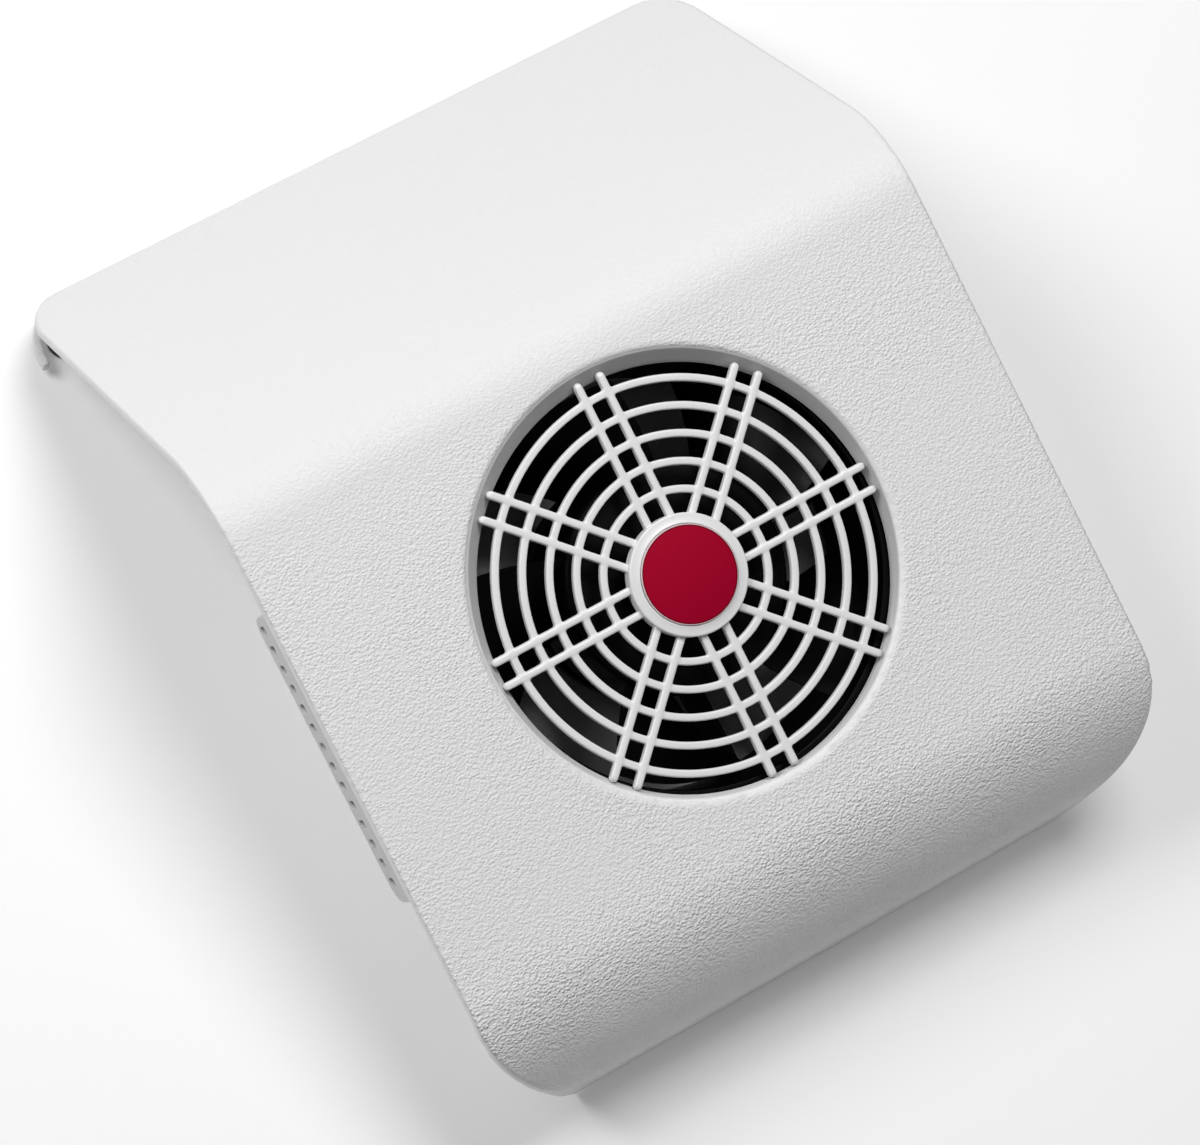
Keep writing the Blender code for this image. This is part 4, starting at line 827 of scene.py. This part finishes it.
def makeFanFrame():
    look = fan
    top, low, edge, step = look["top"], look["top"] - look["depth"], look["rounding"], look["step"]
    bore, outside = look["bore"], look["bore"] + look["wall"]
    arc = [(edge - edge * z, edge - edge * x) for x, z in quarterArc(4)]
    mouth = [(bore + x, top - z) for x, z in arc] + [(outside - x, top - z) for x, z in arc[::-1]]
    body = turned("fanFrame", mouth + [(outside, low), (bore, low)], roundSteps["ring"])
    ears, reach, earLow = cover["ears"], cover["earReach"], top - look["earThickness"]
    adds, holes = [], []
    for number in range(ears):
        turn = turnAbout(number, ears, math.pi / 4)
        ear = circle(look["earRadius"], roundSteps["ear"], reach)
        adds.append(prism("ear", ear, earLow, top - step, turn))
        half = look["earRadius"] * look["webShare"]
        web = rectangle(bore + look["wall"] / 2, -half, reach, half)
        adds.append(prism("web", web, earLow + step, top - 2 * step, turn))
        hole = circle(look["earHole"], roundSteps["hole"], reach)
        holes.append(prism("hole", hole, top - look["holeReach"], top + look["holeReach"], turn))
    baseTop, under = low + look["baseThickness"], low + step
    seat, tube = look["seatRadius"], look["seatRadius"] + look["tubeWall"]
    adds.append(turned("base", [
        (look["baseRadius"], baseTop), (look["baseRadius"], under), (seat - look["stop"], under),
        (seat - look["stop"], low + look["stopHeight"]), (seat, low + look["stopHeight"]),
        (seat, baseTop + look["tubeRise"]), (tube, baseTop + look["tubeRise"]), (tube, baseTop),
    ], roundSteps["tube"]))
    for number in range(look["struts"]):
        half = look["strutWidth"] / 2
        strut = rectangle(look["baseRadius"] - half, -half, bore + look["wall"] / 2, half)
        turn = turnAbout(number, look["struts"])
        adds.append(prism("strut", strut, low + 2 * step, baseTop - 2 * step, turn))
    combine(body, adds, "UNION")
    combine(body, holes, "DIFFERENCE")
    body.data.transform(onSlope)
    finishPiece(body, fanBlack, "housing", "fan_frame", 40)


def makeImpeller():
    look = fan
    top, radius, edge = look["hubTop"], look["hubRadius"], look["hubRounding"]
    low, under = top - look["hubLength"], top - look["hubSkin"]
    boss, bossLow, shaft = look["bossRadius"], under - look["bossLength"], look["shaftRadius"]
    rotor = look["rotorRadius"] + 2 * look["step"]
    arc = [(radius - edge + edge * x, top - edge + edge * z) for x, z in quarterArc(6)]
    profile = [(0, top), *arc, (radius, low), (rotor, low), (rotor, under), (boss, under),
               (boss, bossLow), (shaft, bossLow), (shaft, under), (0, under)]
    hub = turned("impellerFan", profile, roundSteps["hub"])
    combine(hub, [makeBlade(number) for number in range(look["blades"])], "UNION")
    hub.data.transform(onSlope)
    finishPiece(hub, fanBlack, "impeller_body", "impeller", 40)


# A thin twisted blade with a rounded leading edge, from inside the hub's wall to its tip
def makeBlade(number):
    look = fan
    root = (look["rotorRadius"] + look["hubRadius"]) / 2 + 2 * look["step"]
    tip = look["bore"] - look["tipGap"]
    lead = look["hubTop"] - look["bladeLead"]
    across, along = look["bladeStepsAcross"], look["bladeStepsAlong"]
    thinning, power = look["edgeThinning"]
    middle = []
    for step in range(across + 1):
        share = step / across
        radius = root + (tip - root) * share
        sweep = math.radians(look["rootSweep"] + (look["tipSweep"] - look["rootSweep"]) * share)
        for far in range(along + 1):
            travel = far / along
            angle = number * 2 * math.pi / look["blades"] + sweep * travel
            angle += math.radians(look["bladeLean"]) * share
            height = lead - look["bladeHeight"] * travel + look["camber"] * math.sin(math.pi * travel)
            half = look["bladeThickness"] / 2 * (1 - thinning * abs(2 * travel - 1) ** power)
            middle.append((radius, angle, height, half))
    row = along + 1
    verts = []
    for way in (1, -1):
        for index, (radius, angle, height, half) in enumerate(middle):
            far = index % row
            before, after = middle[index - (far > 0)], middle[index + (far < along)]
            run = radius * (after[1] - before[1])
            rise = after[2] - before[2]
            length = math.hypot(run, rise)
            around = -rise / length * half * way
            upward = run / length * half * way
            spin = angle + around / radius
            verts.append((radius * math.cos(spin), radius * math.sin(spin), height + upward))
    count = len(middle)
    faces = []
    for step in range(across):
        for far in range(along):
            first = step * row + far
            quad = (first, first + 1, first + row + 1, first + row)
            faces += [quad, tuple(count + vert for vert in quad[::-1])]
    rim = list(range(row))
    rim += [step * row + along for step in range(1, across + 1)]
    rim += [across * row + far for far in range(along - 1, -1, -1)]
    rim += [step * row for step in range(across - 1, 0, -1)]
    for index, vert in enumerate(rim):
        after = rim[(index + 1) % len(rim)]
        faces.append((after, vert, count + vert, count + after))
    return solid("blade", verts, faces)


makeFanFrame()
makeImpeller()
print("fan made")


# Side vents: plates with round lower corners, softened edges and a row of short slots
vents = {
    "half": 0.0416, "shift": -0.0006, "top": -0.0031, "bottom": -0.0285, "corner": 0.005,
    "middleX": 0.1014, "wall": 0.0016, "edge": 0.0004,
    "slots": 14, "pitch": 0.00565, "slotShift": 0.0011, "slotHalf": 0.0011,
    "slotTop": -0.0215, "slotBottom": -0.0262, "slotRoundness": 0.98,
}


def makeVents():
    look = vents
    low, high = look["shift"] - look["half"], look["shift"] + look["half"]
    bottom, top, thick, half = look["bottom"], look["top"], look["wall"] / 2, look["slotHalf"]
    plate = roundCorners(rectangle(low, bottom, high, top), [look["corner"], look["corner"], 0, 0], 12)
    for side, sign in (("left", -1), ("right", 1)):
        near, far = sign * look["middleX"] - thick, sign * look["middleX"] + thick
        vent = prism("ventPlate_" + side, plate, near, far, sideView)
        slots = []
        for number in range(look["slots"]):
            along = look["shift"] + look["slotShift"] + (number - (look["slots"] - 1) / 2) * look["pitch"]
            corners = rectangle(along - half, look["slotBottom"], along + half, look["slotTop"])
            outline = roundCorners(corners, [half * look["slotRoundness"]] * 4, 6)
            slots.append(prism("slot", outline, near - thick, far + thick, sideView))
        combine(vent, [joined("slots", slots)], "DIFFERENCE")
        modify(vent, "BEVEL", width=look["edge"], segments=2, limit_method="ANGLE",
               angle_limit=math.radians(50))
        settle(vent)
        vent.data.transform(onSlope)
        finishPiece(vent, ventPaintedShadePlastic, "housing", "side_vent_" + side, 35)
        modify(vent, "WEIGHTED_NORMAL", weight=100, keep_sharp=True)
        settle(vent)


# Rubber feet: turned pads with a rounded tread, each on a stem that presses into its post
foot = {"radius": 0.0055, "height": 0.0026, "edge": 0.0006, "stemRadius": 0.0022, "stemTop": 0.0069}


def makeFeet():
    look = foot
    edge, radius, height = look["edge"], look["radius"], look["height"]
    arc = quarterArc(6)
    tread = [(radius - edge + edge * x, edge - edge * z) for x, z in arc]
    shoulder = [(radius - edge / 2 + edge / 2 * x, height - edge / 2 + edge / 2 * z) for x, z in arc[::-1]]
    stem = [(look["stemRadius"], height), (look["stemRadius"], look["stemTop"]), (0, look["stemTop"])]
    for name in footNames:
        place = Matrix.Translation((*nodeMiddle(name).xy, 0))
        profile = [(0, 0), *tread, *shoulder, *stem]
        pad = turned(name.replace("foot", "footPad"), profile, roundSteps["foot"], place)
        finishPiece(pad, rubberBlack, "housing", name, 50)


makeVents()
makeFeet()
print("vents and feet made")


# Dust bag: a cloth pouch gathered onto the outlet by an elastic band, closed by a seam at its rear
bag = {
    "neckWidth": 0.0400, "neckHeight": 0.0200, "neckZ": 0.042,
    "neckY": (0.0448, 0.0465, 0.0485, 0.0505, 0.0522), "neckEndY": 0.0535,
    "aroundSteps": 112, "neckCorner": 0.0196, "bodyCorner": 0.013,
    "stations": (
        (0.0531, 0.0422, 0.0208, 0.0626), (0.0538, 0.0468, 0.0182, 0.0630), (0.0546, 0.0528, 0.0152, 0.0632),
        (0.0557, 0.0588, 0.0126, 0.0632), (0.0572, 0.0640, 0.0108, 0.0630), (0.0592, 0.0676, 0.0098, 0.0622),
    ),
    "bodyFromY": 0.0618, "bodyToY": 0.1035, "bodySteps": 17, "bodyWidth": 0.0705, "bodyTaper": 0.0006,
    "bodyLowZ": 0.0094, "bodyHighZ": 0.0612, "seamAllowance": 0.060,
    "ceilingAt": (0.0445, 0.080), "ceilingFall": 0.993, "ceilingGap": 0.0034,
    "endStations": (
        (0.1052, 0.0698, 0.0104, 0.0175), (0.1064, 0.0688, 0.0120, 0.0158), (0.1072, 0.0680, 0.0136, 0.0142),
    ),
    "pleats": 30, "pleatDepth": 0.0011, "pleatFade": 0.026, "pleatRise": 0.0025, "pleatAlong": 0.3,
    "wander": 1.3, "sidePleats": 19, "sideShare": 0.4,
    "cloth": {"quality": 6, "mass": 0.15, "tension_stiffness": 12, "compression_stiffness": 6,
              "shear_stiffness": 4, "bending_stiffness": 0.3, "vertex_group_mass": "held",
              "use_pressure": True, "uniform_pressure_force": 4.0, "shrink_min": -0.035},
    "frames": 20, "cap": 0.005,
    "limitX": 0.0735, "limitFromY": 0.053, "limitNearY": 0.0527, "limitY": 0.1076,
    "limitLowZ": 0.0084, "limitHighZ": 0.0645, "limitGap": 0.0006,
    "thickness": 0.0005, "pipingRadius": 0.0007, "seamMiddleY": 0.08,
    "outletHalfWidth": 0.036, "outletHalfHeight": 0.016,
    "elasticY": (0.0463, 0.0503), "elasticOut": (0.0049, 0.0064), "ruffles": 44, "ruffleDepth": 0.00035,
    "elasticSteps": 352, "elasticRounds": 8, "elasticSquareness": 0.5,
}


# Points evenly round a rounded rectangle, from the middle of its right side
def ovalRing(halfWidth, halfHeight, radius, count):
    radius = min(radius, halfWidth, halfHeight) * 0.999
    flatX, flatZ = halfWidth - radius, halfHeight - radius
    arc = math.pi / 2 * radius
    quarter = flatZ + arc + flatX
    points = []
    for index in range(count):
        turn, away = divmod(4 * quarter * index / count, quarter)
        if turn in (1, 3):
            away = quarter - away
        if away < flatZ:
            x, z = halfWidth, away
        elif away < flatZ + arc:
            angle = (away - flatZ) / radius
            x, z = flatX + radius * math.cos(angle), flatZ + radius * math.sin(angle)
        else:
            x, z = quarter - away, halfHeight
        points.append((-x if turn in (1, 2) else x, -z if turn in (2, 3) else z))
    return points


def bagCeiling(y):
    return bag["ceilingAt"][1] - bag["ceilingFall"] * (y - bag["ceilingAt"][0])


def bagRings():
    look = bag
    rings = []
    for y in look["neckY"]:
        rings.append((y, look["neckWidth"], look["neckZ"] - look["neckHeight"],
                      look["neckZ"] + look["neckHeight"]))
    rings += look["stations"]
    for step in range(look["bodySteps"] + 1):
        share = step / look["bodySteps"]
        y = look["bodyFromY"] + (look["bodyToY"] - look["bodyFromY"]) * share
        top = min(look["bodyHighZ"], bagCeiling(y) - look["ceilingGap"])
        rings.append((y, look["bodyWidth"] - look["bodyTaper"] * (1 - share), look["bodyLowZ"], top))
    return rings + list(look["endStations"])


# Keeps the cloth inside the space that the bag has under the cover
def keepInside(place):
    look = bag
    behind = place[:, 1] > look["limitFromY"]
    place[behind, 0] = np.clip(place[behind, 0], -look["limitX"], look["limitX"])
    place[:, 1] = np.minimum(place[:, 1], look["limitY"])
    low = np.where(behind, look["limitLowZ"], 0.0)
    high = np.minimum(look["limitHighZ"], bagCeiling(place[:, 1]) - look["limitGap"])
    place[:, 2] = np.clip(place[:, 2], low, np.where(behind, high, 1.0))
    place[behind, 1] = np.maximum(place[behind, 1], look["limitNearY"])
    return place


def makeDustBag():
    look = bag
    rings = bagRings()
    count = look["aroundSteps"]
    verts = []
    for y, halfWidth, low, high in rings:
        half, middle = (high - low) / 2, (high + low) / 2
        corner = min(half, look["neckCorner"] if y < look["neckEndY"] else look["bodyCorner"])
        away = max(y - look["neckY"][-1], 0)
        fold = look["pleatDepth"] * math.exp(-away / look["pleatFade"]) * ease(away, 0, look["pleatRise"])
        ring = ovalRing(halfWidth, half, corner, count)
        for index, (x, z) in enumerate(ring):
            turn = 2 * math.pi * index / count
            wave = math.sin(look["pleats"] * turn + look["wander"] * math.sin(3 * turn))
            wave += look["sideShare"] * math.sin(look["sidePleats"] * turn + 2)
            size = 1 + fold * wave / math.hypot(x, z)
            verts.append((x * size, y - fold * wave * look["pleatAlong"], middle + z * size))
    faces = rowFaces(len(rings), count)
    last = (len(rings) - 1) * count
    for index in range(count // 2):
        under, further = (count - index) % count, count - index - 1
        quad = [last + index, last + index + 1, last + further, last + under]
        faces.append(tuple(dict.fromkeys(quad)))
    pouch = solid("dustPouch", verts, faces)
    puffBag(pouch, len(look["neckY"]) * count)
    seams = makeBagSeams(pouch, count, len(rings), len(look["neckY"]))
    modify(pouch, "SUBSURF", levels=1, render_levels=1)
    modify(pouch, "SOLIDIFY", thickness=look["thickness"], offset=-1)
    settle(pouch)
    pouch.data.shade_smooth()
    finishPiece(pouch, bagCloth, "bag_body", "dust_bag")


# Air pressure rounds the cloth out while the neck is held
def puffBag(pouch, held):
    look = bag
    start = np.array([vert.co[:] for vert in pouch.data.vertices])
    group = pouch.vertex_groups.new(name="held")
    group.add(list(range(held)), 1.0, "REPLACE")
    cloth = pouch.modifiers.new("cloth", "CLOTH")
    for key, value in look["cloth"].items():
        setattr(cloth.settings, key, value)
    cloth.settings.effector_weights.gravity = 0
    cloth.collision_settings.use_collision = False
    cloth.collision_settings.use_self_collision = False
    cloth.point_cache.frame_start = 1
    cloth.point_cache.frame_end = look["frames"]
    for frameNumber in range(1, look["frames"] + 1):
        scene.frame_set(frameNumber)
    graph = bpy.context.evaluated_depsgraph_get()
    result = pouch.evaluated_get(graph).to_mesh()
    place = np.array([vert.co[:] for vert in result.vertices])
    move = place - start
    length = np.linalg.norm(move, axis=1, keepdims=True)
    place = start + move * np.minimum(1, look["cap"] / np.maximum(length, 1e-9))
    place = keepInside(place)
    pouch.modifiers.clear()
    pouch.vertex_groups.clear()
    scene.frame_set(1)
    for vert, at in zip(pouch.data.vertices, place):
        vert.co = at
    pouch.data.update()
    print("dust bag puffed, furthest move", round(float(length.max()), 5))


# Piped seams down both sides and across the rear, laid on the finished cloth
def makeBagSeams(pouch, count, levels, neck):
    look = bag
    verts = pouch.data.vertices
    route = [verts[level * count].co for level in range(neck, levels)]
    last = (levels - 1) * count
    route += [(verts[last + index].co + verts[last + count - index].co) / 2
              for index in range(1, count // 2)]
    route += [verts[level * count + count // 2].co for level in range(levels - 1, neck - 1, -1)]
    route = [Vector(point) for point in route]
    rings = []
    for index, point in enumerate(route):
        along = (route[min(index + 1, len(route) - 1)] - route[max(index - 1, 0)]).normalized()
        out = Vector((point.x, (point.y - look["seamMiddleY"]) * 0.6, 0))
        out = (out - along * out.dot(along)).normalized()
        up = along.cross(out)
        rings.append([point + (out * math.cos(a) + up * math.sin(a)) * look["pipingRadius"]
                      for a in (k * math.pi / 4 for k in range(8))])
    points = [point for ring in rings for point in ring]
    seams = solid("pouchPiping", points, endFaces(len(rings), 8) + rowFaces(len(rings), 8))
    seams.data.shade_smooth()
    finishPiece(seams, bagCloth, "bag_body", None)
    return seams


def makeElastic():
    look = bag
    count, rounds, power = look["elasticSteps"], look["elasticRounds"], look["elasticSquareness"]
    (near, far), z = look["elasticY"], look["neckZ"]
    inner, outer = (ovalRing(look["outletHalfWidth"] + out, look["outletHalfHeight"] + out, 1, count)
                    for out in look["elasticOut"])
    verts = []
    for index in range(count):
        ruffle = look["ruffleDepth"] * (1 - math.cos(2 * math.pi * look["ruffles"] * index / count)) / 2
        for step in range(rounds):
            across, along = math.cos(2 * math.pi * step / rounds), math.sin(2 * math.pi * step / rounds)
            out = 0.5 + 0.5 * math.copysign(abs(across) ** power, across)
            y = (near + far) / 2 + (far - near) / 2 * math.copysign(abs(along) ** power, along)
            x, up = (a + (b - a) * out for a, b in zip(inner[index], outer[index]))
            shrink = 1 - ruffle * out / math.hypot(x, up)
            verts.append((x * shrink, y, z + up * shrink))
    band = solid("elasticBand", verts, rowFaces(count, rounds, True))
    band.data.shade_smooth()
    finishPiece(band, rubberBlack, "bag_body", "bag_elastic")


makeDustBag()
makeElastic()


# The nodes that keep their CAD shape get their finish here
carriedOver = (
    (whitePlastic, ("lower_case", "outlet_collar", "terminal_block")),
    (blackPlastic, ("switch_body", "switch_rocker", "bag_frame")),
    (brassFinish, ("rear_bearing", "front_bearing", "switch_tab_line", "switch_tab_load", "terminal_screw_1",
                   "terminal_screw_2")),
    (steelFinish, ("rotor_shaft", "shaft_clip", "fan_screw_1", "fan_screw_2", "fan_screw_3", "fan_screw_4",
                   "case_screw_1", "case_screw_2", "case_screw_3", "case_screw_4")),
    (coreSteel, ("stator_core", "rotor_ring")),
    (copperWire, ("field_coil_1", "field_coil_2", "field_coil_3", "field_coil_4")),
    (rubberBlack, ("cord_gland",)),
    (leadPlastic, ("switch_lead", "motor_lead")),
)


def dressCarriedOver():
    for material, names in carriedOver:
        finishIn(material, *(nodes[name] for name in names))
    print("carried-over pieces finished")


dressCarriedOver()


# Floor, light and backdrop
studio = {
    "floorColour": (0.90, 0.90, 0.905),
    "floorLift": 0.14,
    "fill": 0.14,
    "lampSize": 0.7, "lampDistance": 1.5,
    "lamps": {
        "keyRearLeft": {"azimuth": 135, "elevation": 48, "power": 9.6},
        "keyOverhead": {"azimuth": 45, "elevation": 70, "power": 11.4},
    },
}


def makeStudio():
    mesh = bpy.data.meshes.new("floor")
    shape = bmesh.new()
    bmesh.ops.create_grid(shape, x_segments=4, y_segments=4, size=4)
    shape.to_mesh(mesh)
    shape.free()
    floor = addPiece("floor", mesh)
    material, tree, shader = newMaterial("floorPaper", studio["floorColour"], 0.9)
    shader.inputs["Specular IOR Level"].default_value = 0.1
    path = addNode(tree, "ShaderNodeLightPath")
    seen = mathNode(tree, "MAXIMUM", path.outputs["Is Camera Ray"], path.outputs["Is Glossy Ray"])
    shader.inputs["Emission Color"].default_value = (1, 1, 1, 1)
    tree.links.new(mathNode(tree, "MULTIPLY", seen, studio["floorLift"]), shader.inputs["Emission Strength"])
    finishIn(material, floor)

    world = bpy.data.worlds.new("studio")
    scene.world = world
    world.use_nodes = True
    tree = world.node_tree
    back = tree.nodes["Background"]
    back.inputs["Color"].default_value = (1, 1, 1, 1)
    path = addNode(tree, "ShaderNodeLightPath")
    strength = remap(tree, path.outputs["Is Camera Ray"], 0, 1, studio["fill"], 1)
    tree.links.new(strength, back.inputs["Strength"])

    for name, values in studio["lamps"].items():
        data = bpy.data.lights.new(name, "AREA")
        data.shape = "DISK"
        data.size = studio["lampSize"]
        data.energy = values["power"]
        lamp = bpy.data.objects.new(name, data)
        scene.collection.objects.link(lamp)
        around, upward = math.radians(values["azimuth"]), math.radians(values["elevation"])
        level = math.cos(upward)
        at = Vector((level * math.cos(around), level * math.sin(around), math.sin(upward)))
        facing = at.to_track_quat("Z", "Y").to_matrix().to_4x4()
        lamp.matrix_world = Matrix.Translation(at * studio["lampDistance"]) @ facing
    scene.view_settings.view_transform = "Standard"
    print("studio set")


makeStudio()
